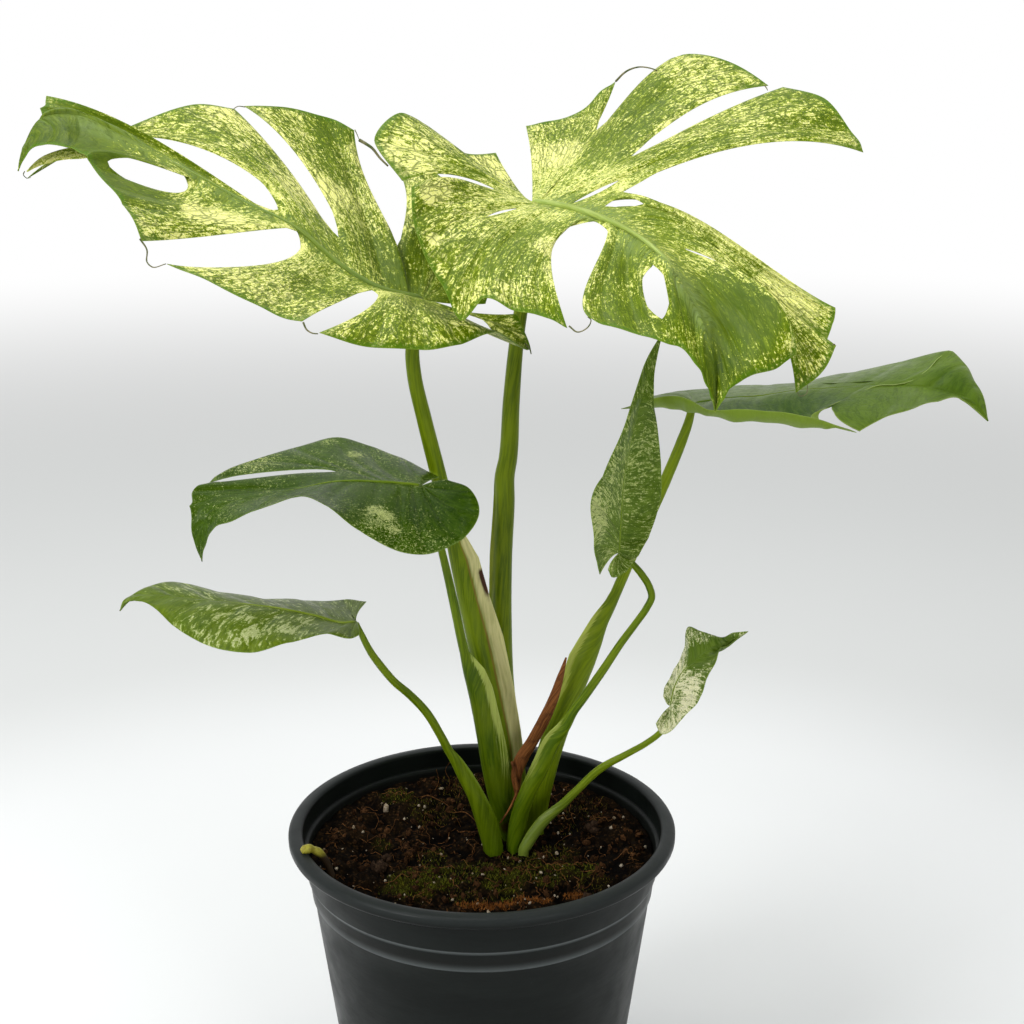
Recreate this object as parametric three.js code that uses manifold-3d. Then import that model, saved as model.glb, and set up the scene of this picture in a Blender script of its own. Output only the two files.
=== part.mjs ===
// Potted mint monstera: seven leaves in a round nursery pot.
// Millimetres, +Z up, origin at the middle of the pot's underside.
// +X is to the viewer's right, +Y points away from the viewer.
import * as THREE from "three";
import { mergeVertices } from "three/addons/utils/BufferGeometryUtils.js";
import Module from "manifold-3d";

// Clearance that two touching pieces keep.
const GAP = 0.35;
const ROUND_SEGMENTS = 44;

const POT_HEIGHT = 145;
const FOOT_CHAMFER = 1;
const POT_FOOT_RADIUS = 57;
const POT_RIM_RADIUS = 82.5;
const POT_MOUTH_RADIUS = 76.1;
const FLOOR_THICKNESS = 3;
const LIP_BOTTOM = 139.5;
const LIP_ROUNDING = 1.4;
const LOWER_LINE_Z = 116;
const LOWER_LINE_RADIUS = 72.5;
const UPPER_LINE_Z = 125.2;
const UPPER_LINE_RADIUS = 74.3;
const COLLAR_RADIUS = 77.2;
const LINE_STEP = 0.7;
const LINE_HEIGHT = 0.5;
const WALL_THICKNESS = 1.5;
const LEDGE_Z = 136;
const LEDGE_WIDTH = 1.9;
const DRAIN_HOLES = 8;
const DRAIN_SEGMENTS = 16;
const DRAIN_RADIUS = 5;
const DRAIN_RING_RADIUS = 43;

// Height of the flat soil between the raised patches.
const SOIL_Z = 126.8;
const SOIL_EDGE_SLOPE = 5;
const SOIL_RINGS = 9;
const SOIL_SEGMENTS = 40;
const STEM_HOLE_FLOOR = 112;
const STEM_HOLE_SEGMENTS = 20;
const STEM_COLLAR_Z = 132.5;

const BLADE_THICKNESS = 0.8;
const STEM_SIDES = 10;
const STEM_STEPS = 2;
// Facets out along a side vein, longest step along the midrib, and parts
// between two side veins that leave the midrib at one place.
const LARGE_BLADE = [7, 0.08, 2];
const SMALL_BLADE = [5, 0.1, 2];

// Raised patches of the soil: x, y, radius, height.
const MOSS_MOUNDS = [
  [-22, -38, 22, 3.2],
  [4, -46, 20, 3],
  [26, -34, 18, 2.4],
  [-6, -20, 16, 2.2],
  [-50, 34, 14, 2],
  [-30, 52, 16, 2.4],
  [46, 20, 18, 1.8],
  [50, -22, 12, 1.6],
];
const STONES = [
  [-44.7, 44.6, 4, 3.4],
  [-44.5, -6.6, 6, 3.6],
  [30, 48, 5, 2.2],
];
const CRUMBS = 70;
const CRUMB_REACH = 66;

// A blade is described by its midrib, from the leaf stalk to the tip, and by
// side veins on either half: "far" is the half away from the viewer, "near"
// the half towards the viewer. A side vein is the place along the midrib
// where it leaves it (0 to 1) and the points it passes, the last one on the
// leaf's edge. Each inner list is one lobe. "farOpen" and "nearOpen" say
// between which parts of the way out two neighbouring lobes stand apart: up
// to 1 is a slit that is open at the edge, less than 1 is a hole.
const LEAVES = {
  a: {
    faces: [0.4, -0.5, 0.8],
    midrib: [
      [-23, 22, 366], [-42, 16, 372], [-56, 15, 381], [-72, 19, 394],
      [-95, 21, 406], [-118, 22, 419], [-141, 22, 431], [-159, 21, 439],
      [-170, 15, 438], [-175, 8, 429], [-177, 2, 419],
    ],
    far: [
      [
        [0, [[-11, 30, 363], [2, 38, 362]]],
        [0, [[-8, 42, 372], [6, 58, 376]]],
        [0, [[-13, 55, 384], [-6, 78, 397]]],
        [0.01, [[-22, 57, 391], [-22, 90, 411]]],
        [0.03, [[-34, 40, 382], [-32, 62, 396], [-36, 84, 412]]],
      ],
      [
        [0.03, [[-36, 45, 388], [-48, 72, 406], [-56, 96, 428]]],
        [0.08, [[-51, 63, 400], [-69, 98, 434]]],
        [0.13, [[-59, 60, 405], [-85, 92, 438]]],
        [0.17, [[-59, 42, 395], [-77, 66, 419], [-101, 80, 439]]],
      ],
      [
        [0.17, [[-63, 40, 393], [-82, 62, 416], [-105, 78, 438]]],
        [0.22, [[-87, 50, 417], [-122, 68, 440]]],
        [0.27, [[-101, 46, 423], [-151, 50, 430]]],
        [0.32, [[-95, 38, 416], [-137, 44, 429], [-183, 34, 413]]],
      ],
      [
        [0.32, [[-98, 27, 409], [-133, 31, 431], [-172, 32, 446]]],
        [0.6, [[-146, 28, 434], [-173, 25, 441]]],
        [0.78, [[-160, 22, 440], [-174, 16, 432]]],
        [0.9, [[-172, 14, 435], [-177, 9, 425]]],
        [1, []],
      ],
    ],
    farOpen: [[[0.33, 1]], [[0.27, 1]], [[0.14, 1]]],
    near: [
      [
        [0, [[-5, 10, 363], [15, 8, 363]]],
        [0, [[0, 4, 362], [20, -4, 351]]],
      ],
      [
        [0, [[-2, 0, 358], [20, -4, 350]]],
        [0, [[-6, -12, 365], [7, -20, 360]]],
        [0, [[-15, -18, 368], [-6, -36, 359]]],
        [0.02, [[-24, -22, 370], [-19, -48, 359]]],
        [0.06, [[-32, -24, 373], [-38, -57, 362]]],
        [0.11, [[-40, -28, 372], [-56, -62, 368]]],
      ],
      [
        [0.11, [[-52, -24, 373], [-62, -62, 372]]],
        [0.18, [[-65, -24, 378], [-76, -62, 377]]],
        [0.24, [[-73, -22, 384], [-93, -60, 385]]],
        [0.31, [[-74, -2, 386], [-92, -32, 387], [-110, -56, 392]]],
      ],
      [
        [0.31, [[-82, 0, 397], [-103, -22, 397], [-120, -50, 399]]],
        [0.45, [[-108, -8, 405], [-129, -36, 411]]],
        [0.53, [[-117, -4, 409], [-137, -27, 417]]],
        [0.6, [[-116, 10, 410], [-132, -2, 415], [-146, -14, 425]]],
      ],
      [
        [0.6, [[-115, 14, 416], [-131, 4, 423], [-146, -14, 425]]],
        [0.8, [[-154, 8, 431], [-156, -4, 429]]],
        [0.88, [[-164, 8, 434], [-166, 0, 429]]],
        [0.94, [[-173, 6, 430], [-173, 2, 426]]],
        [1, []],
      ],
    ],
    nearOpen: [[[0.3, 0.62]], [[0.12, 1]], [[0.06, 1]], [[0.12, 0.84]]],
  },
  b: {
    faces: [0.1, -0.5, 0.8],
    midrib: [
      [21, 38, 403], [31, 27, 403], [40, 16, 402], [50, 0, 400],
      [59, -14, 397], [65, -26, 394], [69, -34, 391], [77, -52, 379],
      [81, -60, 372], [83, -67, 365], [84, -74, 356], [84, -80, 343],
    ],
    far: [
      [
        [0, [[21, 72, 417], [19, 100, 430]]],
        [0, [[28, 74, 418], [29, 105, 431]]],
        [0, [[36, 76, 420], [42, 110, 435]]],
        [0.01, [[39, 78, 422], [52, 115, 443]]],
        [0.02, [[38, 66, 416], [50, 95, 431], [59, 120, 448]]],
      ],
      [
        [0.02, [[40, 70, 418], [57, 92, 435], [77, 118, 452]]],
        [0.03, [[46, 66, 421], [65, 92, 443], [91, 116, 460]]],
        [0.04, [[51, 60, 420], [74, 86, 441], [109, 106, 456]]],
        [0.05, [[58, 55, 418], [86, 76, 436], [123, 92, 447]]],
      ],
      [
        [0.05, [[59, 50, 418], [92, 64, 434], [127, 76, 447]]],
        [0.09, [[65, 44, 420], [100, 52, 434], [142, 60, 443]]],
        [0.12, [[69, 40, 418], [106, 42, 431], [152, 46, 430]]],
        [0.15, [[73, 36, 416], [112, 34, 427], [155, 40, 423]]],
      ],
      [
        [0.15, [[72, 8, 406], [102, -20, 391], [131, -44, 374]]],
        [0.22, [[72, 7, 405], [102, -21, 389], [131, -45, 372]]],
      ],
      [
        [0.22, [[72, 6, 403], [102, -21, 389], [131, -45, 372]]],
        [0.27, [[75, 3, 402], [102, -22, 387], [130, -46, 368]]],
        [0.33, [[78, 0, 399], [101, -24, 384], [128, -48, 363]]],
      ],
      [
        [0.33, [[78, 0, 398], [102, -24, 383], [131, -50, 361]]],
        [0.36, [[80, -6, 395], [104, -32, 379], [125, -58, 353]]],
        [0.4, [[86, -14, 389], [106, -40, 375], [115, -62, 346]]],
      ],
      [
        [0.4, [[85, -18, 389], [105, -44, 381], [114, -66, 361]]],
        [0.55, [[87, -34, 381], [99, -58, 369], [106, -72, 357]]],
        [0.7, [[88, -50, 371], [93, -66, 362], [96, -76, 355]]],
        [0.84, [[86, -62, 364], [88, -72, 357], [89, -79, 351]]],
        [1, []],
      ],
    ],
    farOpen: [[[0.57, 1]], [[0.05, 0.19], [0.37, 1]], [[0.19, 1]], [[0.08, 0.24]], [[0.8, 1]], [[0.24, 1]]],
    near: [
      [
        [0, [[14, 60, 408], [6, 80, 420]]],
        [0, [[7, 56, 410], [-8, 72, 420]]],
        [0, [[0, 52, 417], [-23, 70, 432]]],
        [0, [[-4, 46, 419], [-34, 60, 437]]],
        [0, [[-7, 40, 417], [-43, 42, 428]]],
        [0.02, [[4, 36, 410], [-13, 34, 415], [-31, 26, 413]]],
      ],
      [
        [0.02, [[5, 30, 409], [-11, 18, 415], [-26, 4, 413]]],
        [0.03, [[-5, 14, 407], [-25, -8, 402]]],
        [0.04, [[-3, 6, 401], [-21, -18, 391]]],
        [0.06, [[3, -4, 396], [-13, -28, 379]]],
        [0.08, [[5, -8, 394], [-6, -38, 368]]],
        [0.1, [[9, -12, 392], [2, -40, 377]]],
        [0.15, [[17, -18, 390], [13, -44, 373]]],
        [0.2, [[24, -22, 388], [23, -48, 372]]],
        [0.26, [[30, -2, 394], [28, -34, 383], [33, -52, 368]]],
      ],
      [
        [0.26, [[48, -16, 394], [40, -42, 382], [41, -60, 373]]],
        [0.34, [[51, -20, 392], [46, -44, 380], [48, -62, 370]]],
        [0.44, [[56, -26, 388], [56, -46, 377], [59, -66, 368]]],
        [0.52, [[61, -36, 384], [62, -54, 375], [69, -70, 365]]],
      ],
      [
        [0.52, [[68, -44, 386], [69, -60, 377], [70, -70, 365]]],
        [0.64, [[72, -54, 382], [74, -66, 372], [75, -74, 362]]],
        [0.76, [[78, -62, 373], [78, -70, 365], [79, -78, 357]]],
        [0.88, [[81, -70, 365], [81, -76, 358], [82, -80, 350]]],
        [1, []],
      ],
    ],
    nearOpen: [[[0.3, 1]], [[0.1, 1]], [[0.22, 0.76]]],
  },
  c: {
    faces: [0, -0.2, 1],
    midrib: [
      [88.5, 35, 320], [102, 33, 322.5], [116, 31, 324], [132, 29, 327],
      [148.5, 27, 328.5], [164.5, 25, 330], [178.5, 23, 330], [192, 20, 328],
      [201, 17, 325], [207, 14, 317.5],
    ],
    far: [
      [
        [0, [[79, 42, 320.5], [62.5, 36, 319.5]]],
        [0, [[84, 50, 320], [74.5, 58, 318]]],
        [0, [[89.5, 56, 319], [88, 72, 317.5]]],
        [0.08, [[103.5, 58, 320], [107.5, 80, 317]]],
        [0.2, [[120, 58, 321.5], [127.5, 84, 317.5]]],
        [0.32, [[137, 56, 324], [146.5, 82, 319.5]]],
        [0.42, [[154, 52, 327.5], [163, 76, 325]]],
        [0.54, [[171, 46, 331.5], [181.5, 66, 331.5]]],
        [0.66, [[184.5, 34, 334], [197, 50, 339.5]]],
      ],
      [
        [0.66, [[186.5, 36, 335], [199.5, 51, 339.5]]],
        [0.78, [[194.5, 31, 335], [203.5, 40, 335]]],
        [0.9, [[201.5, 23, 329.5], [206, 26, 328.5]]],
        [1, []],
      ],
    ],
    farOpen: [[[0.3, 1]]],
    near: [
      [
        [0, [[78, 24, 321.5], [57.5, 18, 322]]],
        [0, [[83, 24, 321.5], [77, 14, 323], [74, 6, 329.5]]],
        [0, [[86, 22, 321], [83.5, 8, 323], [82, -2, 330.5]]],
        [0.04, [[90.5, 18, 321.5], [90.5, 2, 323], [90, -10, 327.5]]],
        [0.12, [[99, 14, 323], [100, -6, 322.5], [100.5, -18, 330]]],
        [0.22, [[111, 12, 323.5], [112, -8, 323], [111.5, -22, 330]]],
        [0.32, [[122, 10, 324.5], [124.5, -10, 321.5], [123.5, -24, 329]]],
        [0.44, [[133.5, 8, 325.5], [133.5, -12, 322.5], [136, -24, 325.5]]],
        [0.57, [[145, 7, 326.5], [130.5, -10, 325.5], [146.5, -20, 321]]],
      ],
      [
        [0.57, [[152, 12, 327], [145.5, -4, 323.5], [148.5, -16, 320.5]]],
        [0.66, [[165.5, 6, 327.5], [159, -10, 324.5]]],
        [0.76, [[176.5, 8, 328.5], [171, -6, 327.5]]],
        [0.86, [[187, 12, 327.5], [183, 2, 328.5]]],
        [0.94, [[197, 15, 326], [195, 10, 327.5]]],
        [1, []],
      ],
    ],
    nearOpen: [[[0.3, 1]]],
  },
  d: {
    faces: [0, -0.4, 1],
    midrib: [
      [-24, 4, 293], [-37.5, 3, 294.5], [-59.5, 2, 295], [-73.5, 1, 292.5],
      [-91, 0, 289], [-104.5, -2, 286], [-111, -4, 281], [-113, -6, 274],
      [-112.5, -8, 264.5],
    ],
    far: [
      [
        [0, [[-21, 12, 293], [-17.5, 20, 292.5]]],
        [0, [[-28.5, 18, 295], [-34, 38, 295.5]]],
        [0.06, [[-43.5, 28, 295.5], [-48.5, 50, 298]]],
        [0.11, [[-55.5, 32, 297.5], [-63, 54, 300.5]]],
        [0.15, [[-70, 34, 297], [-81, 49, 297.5]]],
        [0.18, [[-76.5, 30, 295.5], [-101.5, 30, 295]]],
        [0.2, [[-62, 18, 296], [-87.5, 24, 293.5], [-112, 18, 292]]],
      ],
      [
        [0.2, [[-62, 15, 295.5], [-86.5, 18, 293], [-112, 12, 291]]],
        [0.45, [[-89.5, 8, 290.5], [-117.5, 6, 290]]],
        [0.7, [[-108, 2, 287.5], [-118, 0, 285.5]]],
        [0.86, [[-113.5, -4, 278.5], [-116.5, -4, 274]]],
        [1, []],
      ],
    ],
    farOpen: [[[0.28, 1]]],
    near: [
      [
        [0, [[-19, -1, 296], [-13.5, -4, 298]]],
        [0, [[-13.5, -9, 295], [-3.5, -15, 296.5]]],
        [0, [[-12, -17, 291], [0, -26, 290]]],
        [0, [[-15.5, -21, 287], [-6.5, -35, 282]]],
        [0.03, [[-23.5, -22, 286], [-20, -40, 278]]],
        [0.08, [[-31, -22, 287.5], [-33, -40, 280]]],
        [0.15, [[-43, -20, 291], [-45.5, -37, 286.5]]],
        [0.26, [[-57.5, -17, 294.5], [-59, -33, 295.5]]],
        [0.38, [[-70, -15, 295], [-71, -28, 297.5]]],
        [0.52, [[-86, -12, 290.5], [-87.5, -23, 290.5]]],
        [0.68, [[-100, -9, 286.5], [-101, -16, 283]]],
        [0.86, [[-110.5, -8, 276], [-110, -10, 274]]],
        [1, []],
      ],
    ],
    nearOpen: [],
  },
  e: {
    faces: [0, -0.3, 1],
    midrib: [
      [-49.5, -20, 243], [-54, -22, 243], [-65.5, -22, 246], [-79, -22, 249],
      [-92.5, -22, 251], [-106.5, -22, 252.5], [-120, -22, 254], [-131.5, -21, 254.5],
      [-139.5, -21, 252.5], [-144, -21, 248],
    ],
    far: [
      [
        [0, [[-50, -10, 243], [-47.5, 2, 244]]],
        [0, [[-53.5, -4, 242], [-57, 12, 241]]],
        [0.1, [[-67, -2, 243.5], [-77, 17, 239]]],
        [0.25, [[-84.5, -4, 246], [-94, 14, 240.5]]],
        [0.42, [[-101.5, -6, 249], [-112, 8, 246.5]]],
        [0.6, [[-115.5, -10, 253], [-124.5, 1, 252.5]]],
        [0.75, [[-129, -14, 255], [-134, -9, 254.5]]],
        [0.88, [[-137.5, -17, 253.5], [-140.5, -16, 252.5]]],
        [1, []],
      ],
    ],
    farOpen: [],
    near: [
      [
        [0, [[-48, -27, 243], [-47.5, -33, 242.5]]],
        [0, [[-50.5, -30, 243], [-50.5, -38, 242.5]]],
        [0.05, [[-57, -33, 245], [-60, -44, 247]]],
        [0.14, [[-69, -38, 247], [-71, -54, 247]]],
        [0.28, [[-84.5, -41, 248.5], [-86.5, -59, 245]]],
        [0.44, [[-100, -39, 250.5], [-103.5, -53, 245.5]]],
        [0.62, [[-116.5, -34, 252.5], [-119.5, -39, 248.5]]],
        [0.78, [[-129, -27, 253.5], [-130, -28, 253]]],
        [0.9, [[-138, -22, 253], [-140, -22, 252.5]]],
        [1, []],
      ],
    ],
    nearOpen: [],
  },
  f: {
    faces: [0.5, -0.8, 0.2],
    midrib: [
      [56, -6, 267.5], [56.5, -5, 279.5], [57.5, -4, 298.5], [60, -3, 313.5],
      [63.5, -1, 328], [67.5, 1, 343], [73, 3, 358],
    ],
    far: [
      [
        [0, [[53, -9, 265], [51.5, -11, 262]]],
        [0, [[54, -10, 263], [53.5, -12, 259]]],
        [0, [[57, -9, 263], [59, -10, 261]]],
        [0, [[60, -6, 265.5], [64, -4, 265.5]]],
        [0.06, [[62.5, -2, 271.5], [68.5, 1, 271.5]]],
        [0.18, [[65, 2, 281], [72.5, 7, 281.5]]],
        [0.3, [[66, 3, 295], [74, 9, 293]]],
        [0.45, [[66, 3, 309.5], [73, 9, 306]]],
        [0.6, [[66.5, 2, 322.5], [71, 7, 319.5]]],
        [0.75, [[67.5, 2, 334], [69.5, 5, 331.5]]],
        [0.88, [[69, 2, 345.5], [70, 3, 344.5]]],
        [1, []],
      ],
    ],
    farOpen: [],
    near: [
      [
        [0, [[52, -11, 266.5], [48, -20, 263]]],
        [0, [[50, -14, 271.5], [45.5, -22, 271.5]]],
        [0.03, [[50, -15, 280], [45, -23, 281]]],
        [0.08, [[49.5, -15, 287.5], [43.5, -24, 295]]],
        [0.2, [[52.5, -13, 297], [48.5, -20, 303.5]]],
        [0.4, [[56.5, -10, 310.5], [54, -15, 315.5]]],
        [0.6, [[61, -7, 325.5], [60, -9, 330.5]]],
        [0.8, [[65.5, -2, 341], [65, -4, 345]]],
        [1, []],
      ],
    ],
    nearOpen: [],
  },
  g: {
    faces: [0.2, -0.8, 0.5],
    midrib: [
      [78.5, -10, 202.5], [80, -10, 211], [83.5, -10, 218], [87, -11, 221.5],
      [90.5, -12, 226], [94, -12, 228.5], [99.5, -12, 230.5], [105, -12, 233.5],
      [109, -12, 236],
    ],
    far: [
      [
        [0, [[77.5, -8, 202], [76.5, -6, 202.5]]],
        [0, [[77.5, -7, 204], [76, -4, 204.5]]],
        [0.05, [[78, -5, 207.5], [76.5, -2, 207.5]]],
        [0.15, [[80, -4, 213], [80, 0, 213]]],
        [0.25, [[83.5, -3, 219], [83, 1, 219.5]]],
        [0.35, [[85, -3, 224.5], [85, 3, 224.5]]],
        [0.45, [[87, -3, 228.5], [86, 5, 231.5]]],
        [0.6, [[91.5, -6, 230], [91, 0, 231.5]]],
        [0.75, [[97, -10, 231.5], [97.5, -7, 231.5]]],
        [0.9, [[103, -12, 233.5], [103, -11, 235]]],
        [1, []],
      ],
    ],
    farOpen: [],
    near: [
      [
        [0, [[75, -13, 200.5], [72, -17, 197.5]]],
        [0, [[76, -14, 198.5], [73.5, -19, 194]]],
        [0, [[77.5, -15, 199], [77, -21, 195.5]]],
        [0, [[80, -17, 203], [82, -23, 202]]],
        [0.06, [[83.5, -18, 208.5], [87.5, -25, 210]]],
        [0.18, [[86, -18, 215], [90, -25, 216]]],
        [0.32, [[89, -18, 221], [92, -24, 222.5]]],
        [0.5, [[92.5, -17, 225.5], [95.5, -21, 228]]],
        [0.7, [[97.5, -14, 228.5], [98.5, -17, 231]]],
        [0.87, [[103, -12, 231.5], [103.5, -13, 232.5]]],
        [1, []],
      ],
    ],
    nearOpen: [],
  },
};

const LEAF_COLOURS = {
  a: 0x97a844,
  b: 0x93a64c,
  c: 0x5c8a35,
  d: 0x4a7428,
  e: 0x6f8d48,
  f: 0x68893f,
  g: 0xb3b489,
};

// Each row is a place down the stalk: x, y, z of the middle, then how far it
// reaches to the left and to the right of it as the viewer sees it, and half
// its depth. The wider rows are the sheath. "foot" is x, y and radius of the
// round end that stands in the soil.
const STALKS = {
  a: {
    rows: [
      [-23.1, 22.2, 365.1, 1.6, 1.6, 1.8],
      [-26.5, 23, 355, 2.4, 2.4, 2.5],
      [-28, 24, 344, 2.9, 2.9, 3],
      [-27.5, 24.5, 335.5, 3, 3, 3.1],
      [-23.5, 26, 315, 3.2, 3.2, 3.2],
      [-18.5, 27, 293, 3.4, 3.4, 3.4],
      [-13, 28, 267.5, 3.6, 3.7, 3.6],
      [-11.5, 28.5, 261, 3.7, 6, 3.6],
      [-10, 29, 253, 3.8, 8.8, 3.6],
      [-6, 30, 234.5, 4.4, 9.5, 4],
      [-2, 30.5, 216, 4.8, 11.3, 4.5],
      [3, 31, 191.5, 4.8, 11, 4.8],
      [8.5, 32, 167, 5.3, 8.9, 5],
      [11.5, 33, 143.5, 5.4, 6, 4.9],
    ],
    foot: [14, 33, 5],
    colour: 0x86a33c,
  },
  b: {
    rows: [
      [21, 38.1, 402.4, 1.6, 1.6, 1.8],
      [20, 39, 388, 2.5, 2.5, 2.6],
      [18, 40, 369, 2.8, 2.8, 3],
      [15, 40.5, 348, 3, 3, 3.2],
      [12.5, 41, 319.5, 3.6, 3.6, 3.8],
      [11, 41.5, 294, 4, 4, 4],
      [10, 41.5, 287.5, 4.5, 4, 4],
      [10, 42, 276, 5.2, 4, 4],
      [9, 42, 251.5, 5.9, 3.9, 4],
      [8.5, 42, 221, 5.7, 4.2, 4.2],
      [9.5, 42.5, 188, 5.3, 4.5, 4.4],
      [13, 43.5, 159, 4.9, 4.9, 4.4],
    ],
    foot: [16, 44, 4.5],
    colour: 0x7d9c37,
  },
  c: {
    rows: [
      [88.5, 35, 319.1, 1.5, 1.5, 1.5],
      [87, 35, 312, 1.9, 1.9, 2],
      [84.5, 34.5, 304.5, 2.2, 2.2, 2.3],
      [77.5, 33, 286.5, 2.4, 2.4, 2.4],
      [66, 31.5, 259, 2.3, 2.3, 2.4],
      [57.5, 30, 238, 2.3, 2.3, 2.4],
      [55.5, 30, 233, 3, 2.4, 2.4],
      [51.5, 29.5, 224.5, 5, 2.8, 2.6],
      [48, 29, 215, 6.9, 3.6, 3],
      [45, 28.5, 207.5, 8, 4.2, 3.4],
      [39.5, 27.5, 194, 6.5, 4.6, 4],
      [32.5, 26.5, 175.5, 5.7, 5.1, 4.6],
      [26.5, 25, 154.5, 5.3, 5.3, 5],
    ],
    foot: [22, 25, 5],
    colour: 0x7f9d3a,
  },
  d: {
    rows: [
      [-23.8, 4.6, 292, 1, 1, 1],
      [-22, 7.5, 285, 1.2, 1.2, 1.3],
      [-20, 9, 279, 1.3, 1.3, 1.4],
      [-16.5, 11, 263.5, 1.6, 1.6, 1.6],
      [-12, 14, 240.5, 1.9, 1.9, 1.9],
      [-7.5, 16, 216, 2, 2.1, 2.3],
      [-5.5, 16.5, 207, 2.6, 6.8, 2.6],
      [-3, 17.5, 198, 3.3, 7.7, 3],
      [-1, 18.5, 188, 3.5, 7.8, 3.3],
      [1.5, 19, 174, 3.8, 8.3, 3.6],
      [3.5, 19.5, 161, 3.9, 8.7, 3.8],
      [7, 20, 145, 4.2, 6.2, 4],
    ],
    foot: [12, 20, 4.2],
    colour: 0x7b9a36,
  },
  e: {
    rows: [
      [-49.4, -19.6, 242.1, 0.8, 0.8, 0.9],
      [-47.5, -18, 236, 1.3, 1.3, 1.4],
      [-44, -15, 227, 1.5, 1.5, 1.6],
      [-41, -13, 221.5, 1.6, 1.6, 1.7],
      [-36, -10, 213.5, 1.6, 1.6, 1.8],
      [-29.5, -6, 205.5, 1.7, 1.7, 1.8],
      [-23, -2, 196, 1.8, 1.8, 1.8],
      [-17.5, 1, 184.5, 1.8, 1.8, 1.9],
      [-14, 3, 176, 1.8, 2, 2],
      [-11.5, 4, 171, 2, 3.2, 2],
      [-8, 5, 163, 2.3, 4.5, 2.4],
      [-3.5, 6, 153.5, 2.8, 4.7, 2.8],
      [0.5, 7, 141.5, 3.5, 5.8, 3.4],
    ],
    foot: [4.6, 8, 4.4],
    colour: 0x86a545,
  },
  f: {
    rows: [
      [56.5, -4.7, 266.8, 0.8, 0.8, 0.9],
      [60.5, 0, 262.5, 1.3, 1.3, 1.4],
      [66, 1.5, 256, 1.5, 1.5, 1.5],
      [69.5, 2, 250, 1.5, 1.5, 1.6],
      [70.5, 2, 246, 1.5, 1.5, 1.6],
      [68.5, 2, 241, 1.5, 1.5, 1.6],
      [64.5, 2.5, 234.5, 1.5, 1.5, 1.6],
      [58.5, 3, 225.5, 1.6, 1.6, 1.6],
      [51.5, 4, 213.5, 1.8, 1.8, 1.8],
      [43, 5.5, 199.5, 1.9, 1.9, 1.9],
      [38.5, 6, 192.5, 2, 2, 2],
      [36, 6.5, 186.5, 3.5, 2, 2],
      [31, 7.5, 178.5, 4.9, 2.6, 2.4],
      [26, 8.5, 166, 5.2, 2.8, 2.8],
      [20, 9.5, 153, 4.3, 3, 3.2],
      [16, 10.5, 140, 4.2, 3.3, 3.6],
    ],
    foot: [14.1, 10.6, 3.8],
    colour: 0x7f9e3c,
  },
  g: {
    rows: [
      [78.5, -9.2, 201.3, 0.7, 0.7, 0.8],
      [77.5, -6.5, 195.5, 1.1, 1.1, 1.1],
      [75, -5, 188.5, 1.3, 1.3, 1.3],
      [70, -3, 183, 1.3, 1.3, 1.4],
      [62, 0, 176.5, 1.4, 1.4, 1.4],
      [50.5, 3, 168, 1.7, 1.7, 1.6],
      [40.5, 5.5, 156.5, 1.7, 1.7, 1.7],
      [35, 7, 149.5, 2.2, 1.8, 1.8],
      [28, 8, 141.5, 3, 2, 2],
      [24, 9, 135.5, 2.8, 2, 2.2],
    ],
    foot: [21.7, 8.8, 2.4],
    colour: 0x8aa84a,
  },
};

// The brown dry sheath that stands between the stalks.
const DRY_SHEATH = {
  rows: [
    [36, 20, 212, 0.4, 0.4, 0.6],
    [33.5, 19.5, 203, 1.5, 1.5, 1],
    [30.5, 19, 193, 2.2, 2.2, 1.2],
    [26.5, 18.5, 183.5, 2.6, 2.6, 1.3],
    [21.5, 17.5, 174, 2.6, 2.6, 1.3],
    [17.5, 17, 165.5, 2.2, 2.2, 1.3],
    [16.5, 16.5, 152, 1.9, 1.9, 1.3],
  ],
  foot: [18, 16.5, 1.6],
  colour: 0x5d3a1e,
};

// The tip of an aerial root that leaves the soil and lies on the rim.
const ROOT_TIP = {
  rows: [
    [-75, -29.8, 147.6, 1.1, 1.1, 1.1],
    [-73.6, -29.3, 147.7, 1.9, 1.9, 1.8],
    [-70, -27.8, 147.2, 1.9, 1.9, 1.8],
    [-67, -26.4, 143.5, 1.7, 1.7, 1.7],
    [-64.2, -24.8, 138, 1.6, 1.6, 1.6],
  ],
  foot: [-62, -23.5, 1.6],
  colour: 0xa8a23a,
};

function smoothLine(knots, points) {
  const last = points.length - 1;
  const slopes = [];
  for (let i = 0; i < last; i += 1) {
    slopes.push(points[i + 1].clone().sub(points[i]).divideScalar(knots[i + 1] - knots[i]));
  }
  const tangents = [slopes[0].clone()];
  for (let i = 1; i < last; i += 1) {
    const before = knots[i] - knots[i - 1];
    const after = knots[i + 1] - knots[i];
    const blend = slopes[i - 1].clone().multiplyScalar(after).addScaledVector(slopes[i], before);
    tangents.push(blend.divideScalar(before + after));
  }
  tangents.push(slopes[last - 1].clone());
  return function at(x) {
    let i = 0;
    while (i < last - 1 && x > knots[i + 1]) {
      i += 1;
    }
    const h = knots[i + 1] - knots[i];
    const u = (x - knots[i]) / h;
    const point = points[i].clone().multiplyScalar((1 + 2 * u) * (1 - u) * (1 - u));
    point.addScaledVector(tangents[i], u * (1 - u) * (1 - u) * h);
    point.addScaledVector(points[i + 1], u * u * (3 - 2 * u));
    point.addScaledVector(tangents[i + 1], u * u * (u - 1) * h);
    return point;
  };
}

function chordKnots(points) {
  const lengths = [0];
  for (let i = 1; i < points.length; i += 1) {
    lengths.push(lengths[i - 1] + points[i].distanceTo(points[i - 1]));
  }
  const whole = lengths[lengths.length - 1];
  return lengths.map((length) => length / whole);
}

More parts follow.
